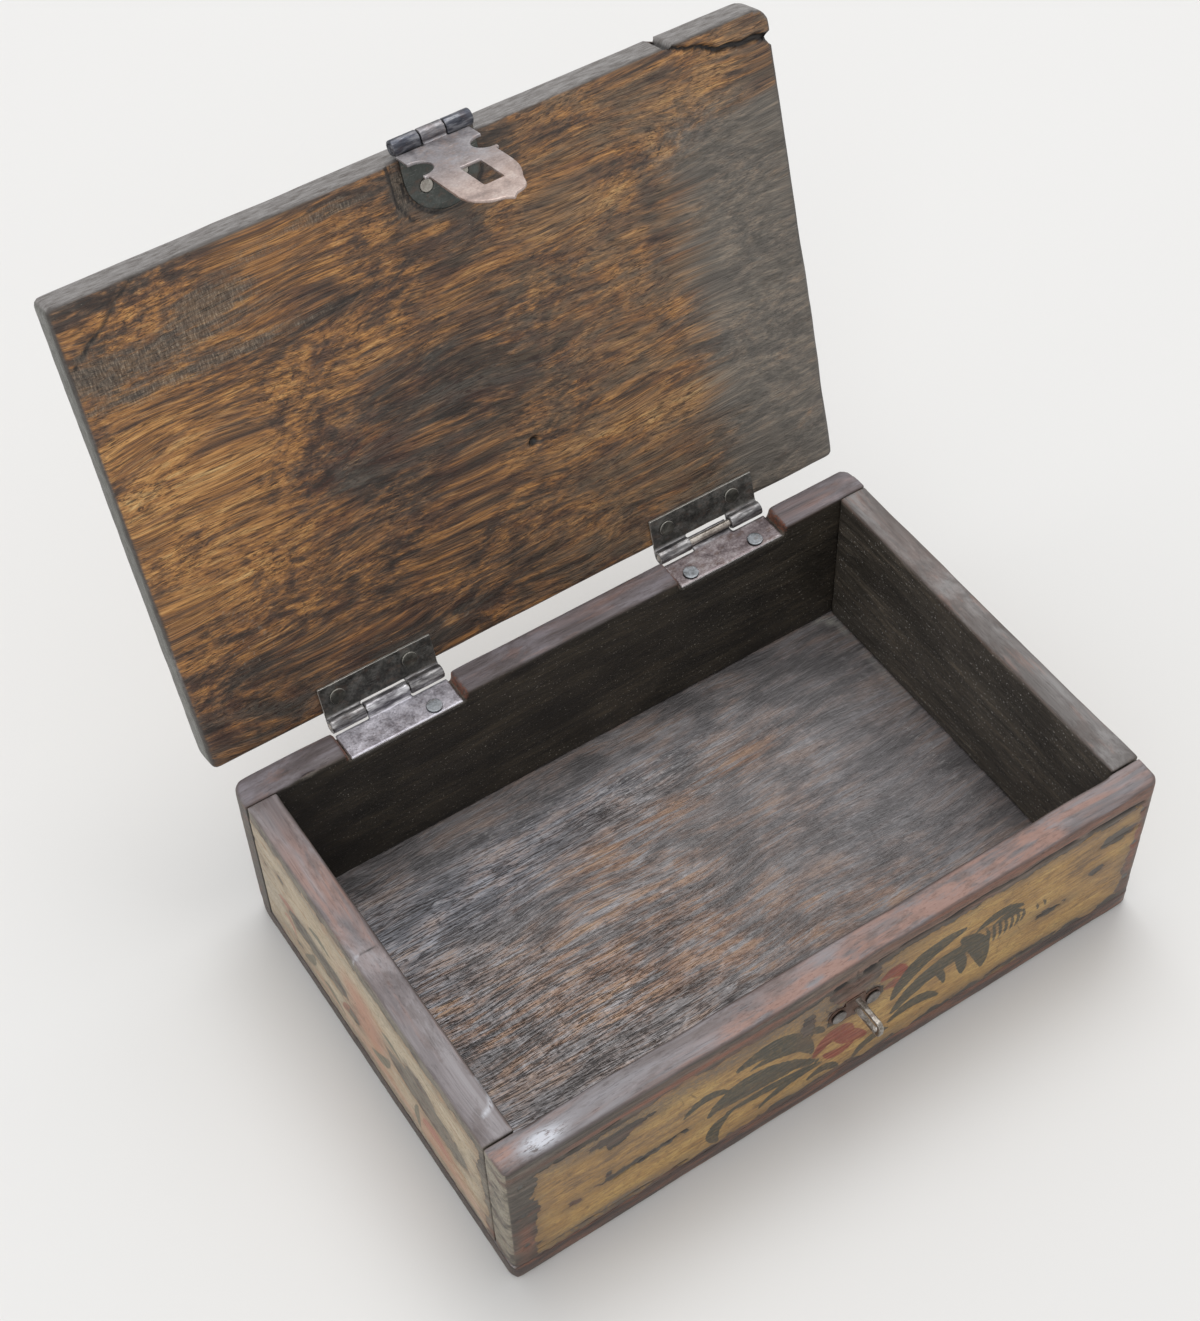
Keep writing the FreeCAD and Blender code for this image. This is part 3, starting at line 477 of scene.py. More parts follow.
LEFT_PETALS = [((61, 38), (52, 41), (43, 34), 2.6), ((20, 22), (13, 30), (7, 28), 2.8),
               ((-34, 24), (-40, 31), (-49, 23), 3.4), ((60, 28), (55, 33), (53, 22), 1.5)]
LEFT_BLUSH = [(0, 36, 15, 15, 1.2), (8, 50, 14, 8, 0.5), (-42, 27, 12, 6, 1.0), (52, 36, 10, 6, 0.6),
              (-60, 18, 40, 6, 0.6), (10, 17, 60, 4, 0.5)]
RIGHT_LEAVES = [((-40, 44), (-28, 50), (-18, 40), 2.4), ((40, 24), (30, 32), (22, 24), 2.3),
                ((-20, 20), (-10, 26), (0, 20), 1.9), ((52, 46), (44, 50), (36, 45), 1.8)]
RIGHT_PETALS = [((-4, 34), (4, 42), (12, 34), 2.8), ((-2, 30), (5, 24), (12, 30), 2.4)]
RIGHT_BLUSH = [(4, 36, 12, 12, 0.7), (-40, 24, 10, 7, 0.4)]


def ovals(flat, places):
    """How far inside the nearest oval each point of a face lies, about in millimetres."""
    inside = np.full(len(flat), BARE)
    for x, y, half_x, half_y in places:
        reach = np.hypot((flat[:, 0] - x) / half_x, (flat[:, 1] - y) / half_y)
        inside = np.maximum(inside, (1 - reach) * min(half_x, half_y) * 1.5)
    return inside


STROKE_STEPS = 28


def brushed(flat, strokes):
    """How far inside the nearest brush stroke each point of a face lies. A stroke starts
    and ends in a point and swells in its middle."""
    inside = np.full(len(flat), UNBRUSHED)
    for start, middle, end, half in strokes:
        for share in np.linspace(0, 1, STROKE_STEPS):
            ways = ((1 - share) ** 2, 2 * share * (1 - share), share**2)
            at = sum(way * np.array(point, float) for way, point in zip(ways, (start, middle, end)))
            swell = half * math.sin(math.pi * min(0.98, 0.06 + 0.9 * share)) ** 0.7
            inside = np.maximum(inside, swell - np.linalg.norm(flat - at, axis=1))
    return inside


def ragged(points, seed):
    """How far the edge of old paint runs in or out at each point."""
    return 4.4 * (uneven(points, 9, seed) - 0.5) + 2.4 * (uneven(points, 2.4, seed + 1) - 0.5)


def painted_field(wall, flat, field, loss, seed):
    """How far inside its painted field each point of a wall's outer face lies."""
    left, right, low, high = field
    x, z = flat.T
    inside = np.min([x - left, right - x, z - low, high - z], axis=0)
    flaked = 2.4 * (uneven(wall.start, (1.6, 1.6, 1.1), seed + 9) - 0.5)
    torn = 0.6 * ragged(wall.start, seed + 5) + flaked
    return np.minimum(inside + ragged(wall.start, seed), torn - ovals(flat, loss))


GREY_RIM = ((94, 86, 86), (122, 116, 118), (146, 142, 146))
MAUVE_RIM = ((88, 79, 80), (114, 106, 109), (140, 134, 140))
PINK_RIM = ((110, 103, 105), (138, 131, 133), (163, 158, 161))
BROWN_RIM = ((88, 82, 79), (114, 109, 107), (142, 139, 138))
DEEP_SHADE = (even_grey(0.75), even_grey(1.15))
MOTTLED_SHADE = ((0.6, 0.58, 0.55, 1), (1.9, 1.85, 1.75, 1))
# Lightens the right wall's inside: partly pale dust, partly a painted sheen.
DUST_AND_SHEEN_SHADE = ((1.9, 1.95, 2.05, 1), (3.3, 3.4, 3.6, 1))


def bare_outside(finish, figure):
    """The bare wood of the outside, with warm streaks and with faded and ruddy places."""
    bare = finish.ramp(figure.tone, (0.1, (52, 45, 39)), (0.4, (76, 69, 61)),
                       (0.65, (98, 90, 81)), (0.9, (124, 111, 100)))
    warm = finish.between(finish.noise(figure.sway, (46, 4.2, 6), 3.0, 0.6), 0.53, 0.66)
    bare = finish.mix(warm, bare, (134, 84, 64), 0.3)
    faded = finish.between(finish.noise(figure.place, (9, 5, 9), 4.0, 0.65), 0.36, 0.56)
    faded = finish.times(finish.marked("faded"), faded, clamp=True)
    bare = finish.mix(faded, bare, (146, 138, 122))
    streaky = finish.between(figure.streaks, 0.1, 0.7, 0.4, 1.0)
    ruddy = finish.times(finish.marked("ruddy"), streaky, clamp=True)
    return finish.mix(ruddy, bare, (146, 92, 70), 0.75)


def rubbed_rim(finish, figure, tones):
    """The rim, rubbed by hands, with warm streaks, grime and dark worn edges."""
    cloud = finish.noise(figure.sway, (34, 7, 9), 4.0, 0.6)
    calm = finish.times_plus(figure.streaks, 0.34, finish.between(cloud, 0.3, 0.7, 0.0, 0.7))
    rim = finish.three_tones(calm, 0.1, 0.9, tones)
    rubbed = finish.between(finish.noise(figure.sway, (22, 1.6, 3)), 0.32, 0.68)
    rubbed = finish.times(finish.marked("warm"), rubbed)
    warm = finish.between(finish.noise(figure.sway, (28, 2.2, 4), 4.0, 0.62), 0.54, 0.68)
    warm = finish.times_plus(warm, 0.35, rubbed, clamp=True)
    rim = finish.mix(warm, rim, (168, 127, 111), 0.74)
    grime = finish.between(finish.noise(figure.place, (12, 5, 5), 5.0, 0.68), 0.52, 0.68)
    rim = finish.mix(grime, rim, (84, 70, 64), 0.4)
    arris = finish.between(finish.marked("worn"), 0.12, 0.5, 0.0, 0.6)
    return finish.mix(arris, rim, (84, 70, 66))


def dark_inside(finish, figure, shades):
    """The inside, stained nearly black, with pale specks, and darker or lighter in slow clouds
    by the shades; the right wall's shades lighten it, partly with pale dust, partly as a
    painted sheen.
    """
    inside = finish.ramp(figure.tone, (0.1, (31, 28, 23)), (0.5, (45, 41, 35)), (0.9, (64, 57, 47)))
    speck = finish.between(finish.noise(figure.place, (0.9, 0.9, 0.9), 1.0), 0.67, 0.73, 0.0, 0.6)
    inside = finish.mix(speck, inside, (140, 136, 130))
    return finish.shade(inside, finish.ramp(figure.slow, (0.35, shades[0]), (0.65, shades[1])))


def brushed_coat(finish, figure, grounds, leaf, petals):
    """The coat of paint: a brushed ground, grimy and blushed in places, the strokes of the
    petals and the leaves, and a fine crackle."""
    place = figure.place
    clouded = finish.times_plus(figure.slow, 0.4, finish.times(figure.mottle, 0.51))
    ground = finish.times_plus(figure.strokes, 0.34, clouded)
    coat = finish.ramp(ground, (0.5, grounds[0]), (0.61, grounds[1]), (0.74, grounds[2]))
    grimy = finish.between(finish.noise(place, (1.8, 0.7, 1.2), 4.0, 0.7), 0.52, 0.66, 0.0, 0.6)
    coat = finish.mix(grimy, coat, (90, 74, 54))
    dirty = finish.times(finish.marked("dirt"), finish.between(figure.fine, 0.3, 0.6), clamp=True)
    coat = finish.mix(dirty, coat, (114, 103, 91))
    blushed = finish.between(finish.marked("blush"), 0.05, 1.2, 0.0, 0.8)
    coat = finish.mix(blushed, coat, (176, 126, 104))
    bristle = finish.times_plus(finish.noise(place, (2.2, 0.8, 2), 3.0, 0.7), 1.5, -0.75)
    thin = finish.between(figure.fine, 0.3, 0.55, 0.72, 0.97)
    petal_tone = finish.ramp(figure.strokes, (0.36, petals[0]), (0.66, petals[1]))
    leaf_tone = finish.ramp(figure.strokes, (0.4, leaf), (0.72, (88, 85, 72)))
    for stroke, soft, stroke_tone in (("petal", 0.3, petal_tone), ("leaf", 0.22, leaf_tone)):
        edge = finish.between(finish.plus(finish.marked(stroke), bristle), -soft, soft)
        coat = finish.mix(finish.times(edge, thin), coat, stroke_tone)
    seam = finish.between(finish.cells(place, (9, 3.4, 9), "DISTANCE_TO_EDGE"), 0.035, 0.0)
    cracked = finish.times(seam, finish.between(figure.slow, 0.45, 0.7), clamp=True)
    coat = finish.mix(cracked, coat, (84, 66, 50), 0.55)
    return fibrous(finish, figure, coat, 0.88, 1.05)


def wall_finish(name, grounds, seed, leaf=(58, 57, 49), petals=((108, 50, 40), (158, 84, 66)),
                rim_tones=MAUVE_RIM, inner_shades=DEEP_SHADE):
    """Stained hardwood with a thin brushed coat of old paint on the outer face, whose ground
    has a worn, a usual and a light colour."""
    finish = Finish(name)
    figure = grain_of(finish, coarse=1.0, seed=seed)
    place = figure.place
    figure.tone = finish.times_plus(figure.streaks, 0.55, finish.times(figure.bands, 0.35))
    figure.fine = finish.noise(place, (1.6, 1.1, 1.1), 3.0, 0.65)
    figure.slow = finish.noise(place, (30, 14, 20), 3.0, 0.6)
    figure.strokes = finish.noise(place, (26, 1.0, 4), 3.0, 0.6)
    figure.mottle = finish.noise(place, (7, 3.2, 5), 5.0, 0.7)
    rim = finish.marked("rim")
    colour = finish.mix(rim, bare_outside(finish, figure), rubbed_rim(finish, figure, rim_tones))
    colour = finish.mix(finish.marked("inside"), colour, dark_inside(finish, figure, inner_shades))
    raw = finish.times(finish.marked("raw"), finish.between(figure.fine, 0.35, 0.6))
    colour = finish.mix(raw, colour, (126, 80, 62))
    pores = finish.times(figure.pores, finish.between(rim, 0.0, 1.0, 0.6, 0.16))
    colour = finish.mix(pores, colour, (40, 33, 31))
    fibre_shade = finish.times_plus(figure.fibres, finish.between(rim, 0.0, 1.0, 0.3, 0.1), 0.82)
    colour = finish.shade(colour, fibre_shade)
    smear = finish.between(finish.noise(place, (3.2, 0.7, 0.7), 4.0, 0.7), 0.36, 0.5)
    white = finish.times(finish.marked("blot"), smear, clamp=True)
    colour = finish.mix(white, colour, (214, 217, 226), 0.82)

    paint = finish.marked("paint")
    chip = finish.times_plus(finish.noise(place, (3.4, 1.6, 2), 4.0, 0.7), 2.8, -1.4)
    edge = finish.plus(paint, chip)
    flake = finish.between(finish.noise(place, (6, 1.5, 3), 5.0, 0.75), 0.7, 0.68)
    held = finish.times(finish.between(edge, -0.12, 0.12), flake)
    coat = brushed_coat(finish, figure, grounds, leaf, petals)
    coat = finish.mix(finish.between(edge, 2.2, 0.2), coat, grounds[0], 0.35)
    handled = finish.times(finish.between(paint, 9.0, 0.5), finish.between(figure.mottle, 0.36, 0.6))
    coat = finish.mix(handled, coat, (96, 80, 66), 0.55)
    colour = finish.mix(held, colour, coat)
    colour = finish.mix(finish.between(finish.marked("hole"), 0.1, 0.7), colour, (26, 20, 17))

    wood_relief = finish.relief(grain_height(finish, figure, figure.pores, 0.6, 0.4, 0.5), 0.1)
    coat_relief = finish.relief(finish.times_plus(figure.strokes, 0.25, held), 0.12, wood_relief)
    return finish.set(colour, finish.between(figure.tone, 0.0, 1.0, 0.44, 0.62), coat_relief)


def mark_wall(wall, flat, outer, inner, seed, field=FRONT_FIELD, loss=(), leaves=(), petals=(),
              stains=()):
    """Marks the rim and the inside of a wall and, on its outer face, the painted field, the
    strokes and the stains. Gives back how far inside the paint each point lies."""
    paint = np.where(outer, painted_field(wall, flat, field, loss, seed), BARE)
    below_rim = wall.start[:, 2].max() - wall.start[:, 2]
    wall.mark("paint", paint)
    wall.mark("leaf", np.where(outer, brushed(flat, leaves), UNBRUSHED))
    wall.mark("petal", np.where(outer, brushed(flat, petals), UNBRUSHED))
    wall.mark("rim", near(below_rim, RIM_EDGE))
    wall.mark("inside", rises(below_rim, 0, RIM_FADE) * inner)
    for name, places in stains:
        wall.mark(name, patches(flat, places) * outer)
    return paint


def wear_long_wall(wall, outer, inwards, amount, seed, rounds):
    """Rounds the rim and the outer ends of the front or the back, but hardly where they
    meet the side walls. Gives back how near the rim each point lies."""
    x, y, z = wall.points.T
    worn_rim = near(rim_height - z, RIM_WEAR)
    worn_ends = rises(np.abs(x), LONG_ENDS, LONG_END_WEAR) * outer
    at_sides = (np.abs(x) > LONG_JOINT) * (y * inwards > (y * inwards).max() - LONG_JOINT_DEPTH)
    open_part = 1 - SHIELDED * at_sides
    here = np.maximum(worn_rim, worn_ends) * open_part
    wall.wear(np.clip(0.1 + amount * here * uneven(wall.points, 14, seed), 0, 0.8), rounds)
    wall.worn *= open_part
    return worn_rim


OLD_HOLES = [(-3.4, 64), (8.2, 65)]
OLD_SCRATCHES = [[(-2, 61), (3, 58.5), (9, 60)], [(3, 68), (3.6, 62)], [(-9, 55), (-6, 50)]]
RIM_SPLIT = [(12, 66), (24, 67), (40, 66.4), (54, 67.2), (70, 65.8), (84, 67.0), (98, 66.6),
             (112, 66.2), (123, 65.6)]
FRONT_CRACKS = [[(-91, 29), (-78, 31), (-63, 33)], [(62, 10.6), (92, 10.2)], [(-120, 13), (-63, 11)],
                [(82, 30.6), (92, 29.4)], [(106, 52), (124, 51)], [(-112, 64), (-88, 65)],
                [(-4, 52), (-10, 49)]]
FRONT_DIRT = [(-92, 12, 26, 3.2, 1.4), (-100, 62, 34, 6, 0.8), (3, 52, 14, 7, 0.8),
              (75, 11, 30, 2, 0.8), (0, 60, 22, 12, 0.7), (-44, 60, 36, 5, 0.7), (-70, 44, 12, 5, 0.4)]
FRONT_BLUSH = [(-66, 66, 34, 2.6, 0.8), (-84, 6, 40, 2, 1.0), (-123, 45, 3, 20, 0.8)]
FRONT_RUDDY = [(76, 71, 62, 4, 0.9), (-60, 67, 60, 1.6, 1.1), (-70, 6, 60, 2.2, 1.1),
               (40, 5, 60, 2, 0.5), (-124, 24, 3, 10, 0.9), (-3, 53, 10, 3, 0.8), (4, 60, 8, 3, 0.5),
               (124, 42, 2.5, 24, 1.0)]
FRONT_BLOT = [(-113, -83, 6.5, 2.6, 1.5)]
FRONT_WARM = [(-30, -85.4, 40, 1.6, 1.2), (66, -82, 76, 7, 1.6), (-4, -84.5, 34, 3, 1.4),
              (-127, -81, 5, 5, 1.4)]
FRONT_NAIL_PLACES = [(x, z) for x in (-124, 124) for z in (19.8, 40.7, 60.3)]
LONG_OUTER_DEPTH = 5.5
PUTTY_REACH = 3.0
PUTTY_FACE = 0.2
NAIL_DEPTH = 2.4
OCHRE = ((120, 96, 70), (168, 131, 80), (192, 158, 98))


def putty(wall, face, places):
    """Fills the holes above sunk nails almost to the face of the front."""
    depth = wall.points[:, 1] - face
    for x, z in places:
        within = np.hypot(wall.points[:, 0] - x, wall.points[:, 2] - z) < PUTTY_REACH
        hole = within & (depth > PUTTY_FACE) & (depth < NAIL_DEPTH)
        wall.points[hole, 1] = face + PUTTY_FACE
        wall.normals[hole] = (0, -1, 0)


front = Worn("front_plank", "front_wall", FRONT_PITCH)
flat = front.points[:, [0, 2]]
rim_height = front.points[:, 2].max()
outer_face = front.points[:, 1].min()
putty(front, outer_face, FRONT_NAIL_PLACES)
outer = front.start[:, 1] < outer_face + LONG_OUTER_DEPTH
inner = front.normals[:, 1] > 0.5
stains = (("dirt", FRONT_DIRT), ("blush", FRONT_BLUSH), ("ruddy", FRONT_RUDDY))
paint = mark_wall(front, flat, outer, inner, 3, FRONT_FIELD, FRONT_LOSS, FRONT_LEAVES + FRONT_COMB,
                  FRONT_PETALS, stains)
worn_rim = wear_long_wall(front, outer, 1, 0.75, 4, 9)
dent = 0.7 * np.clip(uneven(front.start, (11, 5, 4), 6) - 0.62, 0, 1)
dent += 0.1 * uneven(front.start, (5, 4, 1.4), 7)
old_holes = np.min([np.hypot(*((flat - place) * (0.6, 1)).T) for place in OLD_HOLES], axis=0)
split = near(from_lines(flat, [RIM_SPLIT]), 1.2) * uneven(front.start, 6, 33)
cracked = near(from_lines(flat, FRONT_CRACKS), 0.8) * uneven(front.start, 4, 31)
hollow = np.clip(2.8 - old_holes / 0.7, 0, 1) + 0.5 * near(from_lines(flat, OLD_SCRATCHES), 0.8, 0.8)
hollow = np.clip(hollow + 1.6 * split + 1.2 * cracked, 0, 1) * outer
hollow *= np.abs(front.normals[:, 1]) > 0.5
front.sink(dent + PAINT_DEPTH * np.clip(0.5 - paint, 0, 1) + 1.1 * hollow)
rim_place = front.start[:, :2]
front.mark("blot", patches(rim_place, FRONT_BLOT) * worn_rim)
front.mark("warm", patches(rim_place, FRONT_WARM) * worn_rim)
front.mark("faded", (np.abs(front.normals[:, 0]) > 0.6) * rises(front.start[:, 2], 10, 6))
front.mark("hole", hollow)
front_finish = wall_finish("ochre painted wood", OCHRE, 2, rim_tones=GREY_RIM)
front.fit(front_finish, "box", grain=(0, 2, 1))

BACK_WARM = [(104, 80, 20, 4, 0.8), (20, 84, 20, 2, 0.5)]
SPLINTER_AT = (-104, 75.7)
SPLINTER_SIZE = (14, 3)
NOTCH_HEIGHT = 69
NOTCH_OUTER_END = 100

back = Worn("back_plank", "back_wall", BACK_PITCH)
flat = back.points[:, [0, 2]]
outer = back.start[:, 1] > back.start[:, 1].max() - LONG_OUTER_DEPTH
inner = back.normals[:, 1] < -0.5
mark_wall(back, flat, np.zeros(len(flat), bool), inner, 13)
worn_rim = wear_long_wall(back, outer, -1, 0.7, 5, 6)
splinter = near(np.abs(back.start[:, 0] - SPLINTER_AT[0]), SPLINTER_SIZE[0])
splinter *= near(back.start[:, 1] - SPLINTER_AT[1], SPLINTER_SIZE[1])
splinter *= worn_rim * uneven(back.start, (4, 1.2, 1.2), 8)
back.sink(0.1 * uneven(back.start, (7, 4, 1.6), 9) + 2.4 * splinter)
in_notch = (back.start[:, 2] > NOTCH_HEIGHT) & (np.abs(back.start[:, 0]) < NOTCH_OUTER_END)
back.mark("raw", (np.abs(back.normals[:, 0]) > 0.6) & in_notch)
back.mark("warm", patches(back.start[:, :2], BACK_WARM) * worn_rim)
back_finish = wall_finish("stained back wood", OCHRE, 5, inner_shades=MOTTLED_SHADE)
back.fit(back_finish, "box", grain=(0, 2, 1))

CREAM = ((164, 132, 104), (182, 166, 140), (196, 184, 162))
FADED_LEAF = (122, 118, 102)
FADED_PETALS = ((158, 110, 96), (184, 134, 114))
SIDE_DIRT = [(0, 12, 60, 3, 0.8), (70, 30, 8, 20, 0.4)]
SIDE_RUDDY = [(-50, 16, 40, 6, 0.4), (20, 6, 70, 3, 0.5)]
SIDE_WARM = [(34, 0, 28, 9, 1)]
SIDE_OUTER_DEPTH = 4
# Across the left wall's rim: a crack, and a corner with paler chips.
RIM_CRACK = [(3.2, 0), (4.4, 4), (3.8, 9)]
CHIPPED_CORNER = [(-54, 12), (-60, 12.5), (-65, 10), (-66.5, 6.5)]
CHIPS_REACH = 3
SIDES = [
    ("left", -1, LEFT_FIELD, LEFT_LOSS, LEFT_LEAVES, LEFT_PETALS, LEFT_BLUSH, 0.9,
     PINK_RIM, DEEP_SHADE),
    ("right", 1, RIGHT_FIELD, RIGHT_LOSS, RIGHT_LEAVES, RIGHT_PETALS, RIGHT_BLUSH, 0.2,
     BROWN_RIM, DUST_AND_SHEEN_SHADE),
]
for number, kept_by_side in enumerate(SIDES):
    side, way, field, loss, leaves, petals, blush, warmth, rim_tones, inner_shades = kept_by_side
    wall = Worn(side + "_plank", side + "_wall", SIDE_PITCH)
    flat = wall.points[:, [1, 2]]
    outer = wall.start[:, 0] * way > np.abs(wall.start[:, 0]).max() - SIDE_OUTER_DEPTH
    inner = wall.normals[:, 0] * way < -0.5
    stains = (("blush", blush), ("dirt", SIDE_DIRT), ("ruddy", SIDE_RUDDY))
    paint = mark_wall(wall, flat, outer, inner, 23 + 10 * number, field, loss, leaves, petals, stains)
    worn_rim = near(rim_height - wall.points[:, 2], RIM_WEAR)
    at_joint = rises(np.abs(wall.points[:, 1]), SIDE_JOINT, SIDE_JOINT_WIDTH)
    wall.wear(np.clip(0.1 + 0.6 * worn_rim * (1 - at_joint) * uneven(wall.points, 14, 6), 0, 0.8), 7)
    wall.worn *= 1 - SHIELDED * at_joint
    wall.sink(0.1 * uneven(wall.start, (4, 6, 1.5), 11) + PAINT_DEPTH * np.clip(0.5 - paint, 0, 1))
    along_rim = wall.start[:, 1:2] * [1, 0]
    wall.mark("warm", warmth * patches(along_rim, SIDE_WARM) * worn_rim)
    wall.mark("faded", 0.5 * outer)
    if side == "left":
        on_rim = np.stack([wall.start[:, 1], wall.start[:, 0] - wall.start[:, 0].min()], axis=1)
        cracked = near(from_lines(on_rim, [RIM_CRACK]), 0.9) * (worn_rim > 0.5)
        chipped = near(from_lines(on_rim, [CHIPPED_CORNER]), 1.3) * worn_rim
        wall.mark("hole", 0.6 * cracked * (on_rim[:, 1] > CHIPS_REACH))
        wall.mark("blot", 0.8 * chipped + 0.5 * cracked * (on_rim[:, 1] < CHIPS_REACH))
    side_finish = wall_finish("cream painted %s wood" % side, CREAM, 7 + number, FADED_LEAF,
                              FADED_PETALS, rim_tones, inner_shades)
    wall.fit(side_finish, "box", grain=(1, 2, 0))

# Nails of the boards: cut iron nails with small flat heads, driven below the wood. Those
# of the front are puttied and painted over; behind and underneath the heads still show.

IRON_PITCH = 0.4


def iron_finish(name, tones, edge, barrel=None, painted_side_shading=None, neck=None, rust=(92, 66, 52), rust_share=0.2,
                rough=0.42):
    """Old iron in three near tones, with a little brown rust and thin rubbed edges. Rolled
    knuckles and pins may have tones of their own, whose light streaks along the pin are
    partly painted highlights. Faces that turn sideways may get a painted shading: a painted
    shade where its tone is dark, a painted highlight where it is light."""
    finish = Finish(name)
    place = finish.marked("grain", "Vector")
    barrel_part = finish.marked("barrel")
    skin = finish.noise(place, (6, 5, 6), 4.0, 0.6)
    fine = finish.noise(place, (0.8, 0.8, 0.8), 3.0, 0.6)
    mottle = finish.times_plus(fine, 0.35, finish.times(skin, 0.65))
    colour = finish.three_tones(mottle, 0.36, 0.64, tones)
    if neck:
        neck_part = finish.times_plus(finish.less(skin, 0.5), 1.4, finish.marked("neck"), clamp=True)
        colour = finish.mix(neck_part, colour, finish.three_tones(mottle, 0.36, 0.64, neck))
    # The rolled knuckles get streaks along the pin up to nearly white: partly rubbed iron, partly
    # painted highlights.
    if barrel:
        rolled = finish.noise(place, (7, 1.5, 1.5), 3.0, 0.6)
        colour = finish.mix(barrel_part, colour, finish.three_tones(rolled, 0.34, 0.66, barrel))
    rusty = finish.between(finish.noise(place, (4, 3, 4), 5.0, 0.7), 0.5, 0.66, 0.0, rust_share * 2)
    rusty = finish.times(rusty, finish.between(barrel_part, 0.0, 1.0, 1.0, 0.4))
    colour = finish.mix(rusty, colour, rust)
    scratch = finish.between(finish.noise(place, (5, 0.2, 0.3), 2.0, 0.6), 0.64, 0.74, 0.0, 0.5)
    colour = finish.mix(scratch, colour, edge)
    rubbed = finish.times_plus(fine, 0.5, finish.marked("worn"))
    colour = finish.mix(finish.between(rubbed, 0.42, 0.68, 0.0, 0.85), colour, edge)
    # Painted shading on faces that turn sideways: a dark tone paints the shade round nail heads, a
    # light tone paints a highlight on the edges of leaves and heads.
    if painted_side_shading:
        sideways = finish.less(finish.marked("side"), barrel_part)
        colour = finish.mix(finish.between(sideways, 0.18, 0.45, 0.0, 0.9), colour, painted_side_shading)
    pit = finish.between(finish.cells(place, (1.5, 1.5, 1.5)), 0.22, 0.1)
    pit = finish.times(pit, finish.between(skin, 0.5, 0.6))
    colour = finish.mix(pit, colour, tones[0], 0.5)
    height = finish.times_plus(pit, -0.6, finish.times_plus(fine, 0.4, skin))
    metal = finish.between(rusty, 0.0, 0.5, 0.85, 0.4)
    shine = finish.between(mottle, 0.4, 0.6, rough, rough + 0.15)
    return finish.set(colour, shine, finish.relief(height, 0.07), metal)


# Its light side tone paints a highlight on the thin edges of the lid leaves and the nails.
dark_iron = iron_finish("dark iron", ((70, 69, 67), (94, 93, 90), (122, 120, 116)),
                        (186, 184, 178), ((78, 76, 78), (118, 116, 117), (178, 176, 176)),
                        painted_side_shading=(186, 184, 178), rough=0.34)
for node in ("front_corner_nails", "back_corner_nails", "base_nails"):
    nails = Worn(node.replace("_nails", "_brads"), node, IRON_PITCH)
    nails.wear(np.full(len(nails.points), 0.3), 2)
    nails.fit(dark_iron, "box")

# Hinges: two butt hinges of sheet iron, each leaf rolled round a wire pin and held by
# round-headed nails. The box leaves lie in notches of the back wall and are rubbed
# smooth; the lid leaves lie on the underside of the lid and are darker.

PIN_PITCH = 0.3
# Distances from a pin: its bore, its knuckle, the end of the bent part and of the neck.
BORE_REACH = 2.2
KNUCKLE_REACH, KNUCKLE_FADE = 3.6, 0.6
BEND_REACH = 5.0
NECK_REACH, NECK_FADE = 40, 22


def forge(piece, pin, hammer=0.1, head=2):
    """Softens the edges of a cold-worked piece and leaves shallow hammer marks. Marks the
    rolled part about its pin, its neck and, by the way the heads face, their sides, where
    the finish paints a shade on some pieces and a highlight on others."""
    pin_at = np.array((piece.laid @ Vector(pin)) / MM)
    out_from_pin = (piece.start - pin_at)[:, 1:]
    from_pin = np.linalg.norm(out_from_pin, axis=1)
    bore = (from_pin < BORE_REACH) & (np.sum(piece.normals[:, 1:] * out_from_pin, axis=1) < 0)
    piece.wear(0.32 * (0.5 + uneven(piece.points, 5, 12)) * ~bore, 3)
    blow = uneven(piece.start, 4.5, 13) + 0.5 * uneven(piece.start, 1.8, 14)
    piece.sink(hammer * (blow - 0.5))
    piece.mark("barrel", np.clip((KNUCKLE_REACH - from_pin) / KNUCKLE_FADE, 0, 1))
    piece.mark("neck", np.clip((NECK_REACH - from_pin) / NECK_FADE, 0, 1))
    piece.mark("side", (1 - np.abs(piece.normals[:, head])) * (from_pin > BEND_REACH))


def turned(joint, angle):
    """The turn about the line of a joint by an angle."""
    line = Matrix.Translation(joint["pos_m"])
    return line @ Matrix.Rotation(angle, 4, Vector(joint["axis"])) @ line.inverted()


lid_joint, hasp_joint = frame["joints"]
close_angle = math.radians(lid_joint["range_deg"][0])
shut = turned(lid_joint, close_angle)

# Tones of the rolled knuckles, whose lightest stands partly for a painted highlight.
BARREL_TONES_AND_HIGHLIGHTS = ((92, 90, 94), (136, 134, 138), (200, 199, 202))
BRIGHT_EDGE = (220, 218, 218)
# Their light side tones paint a highlight on the thin edges of the box leaves.
box_leaf_iron = {
    "left": iron_finish("rubbed leaf iron", ((128, 125, 132), (168, 166, 174), (202, 200, 208)),
                        BRIGHT_EDGE, BARREL_TONES_AND_HIGHLIGHTS, painted_side_shading=(212, 210, 210), rust_share=0.1, rough=0.32),
    "right": iron_finish("browned leaf iron", ((98, 88, 90), (132, 122, 124), (164, 157, 158)),
                         BRIGHT_EDGE, BARREL_TONES_AND_HIGHLIGHTS, painted_side_shading=BRIGHT_EDGE, rust_share=0.3, rough=0.34),
}
pin_iron = iron_finish("pin iron", ((96, 90, 84), (150, 142, 134), (196, 190, 182)),
                       (224, 220, 214), rust_share=0.2, rough=0.3)
# A dark side tone paints the shade round the nail heads.
head_iron = iron_finish("nail head iron", ((108, 111, 114), (148, 153, 158), (182, 187, 192)),
                        (196, 200, 205), painted_side_shading=(52, 53, 54), rust_share=0.2)
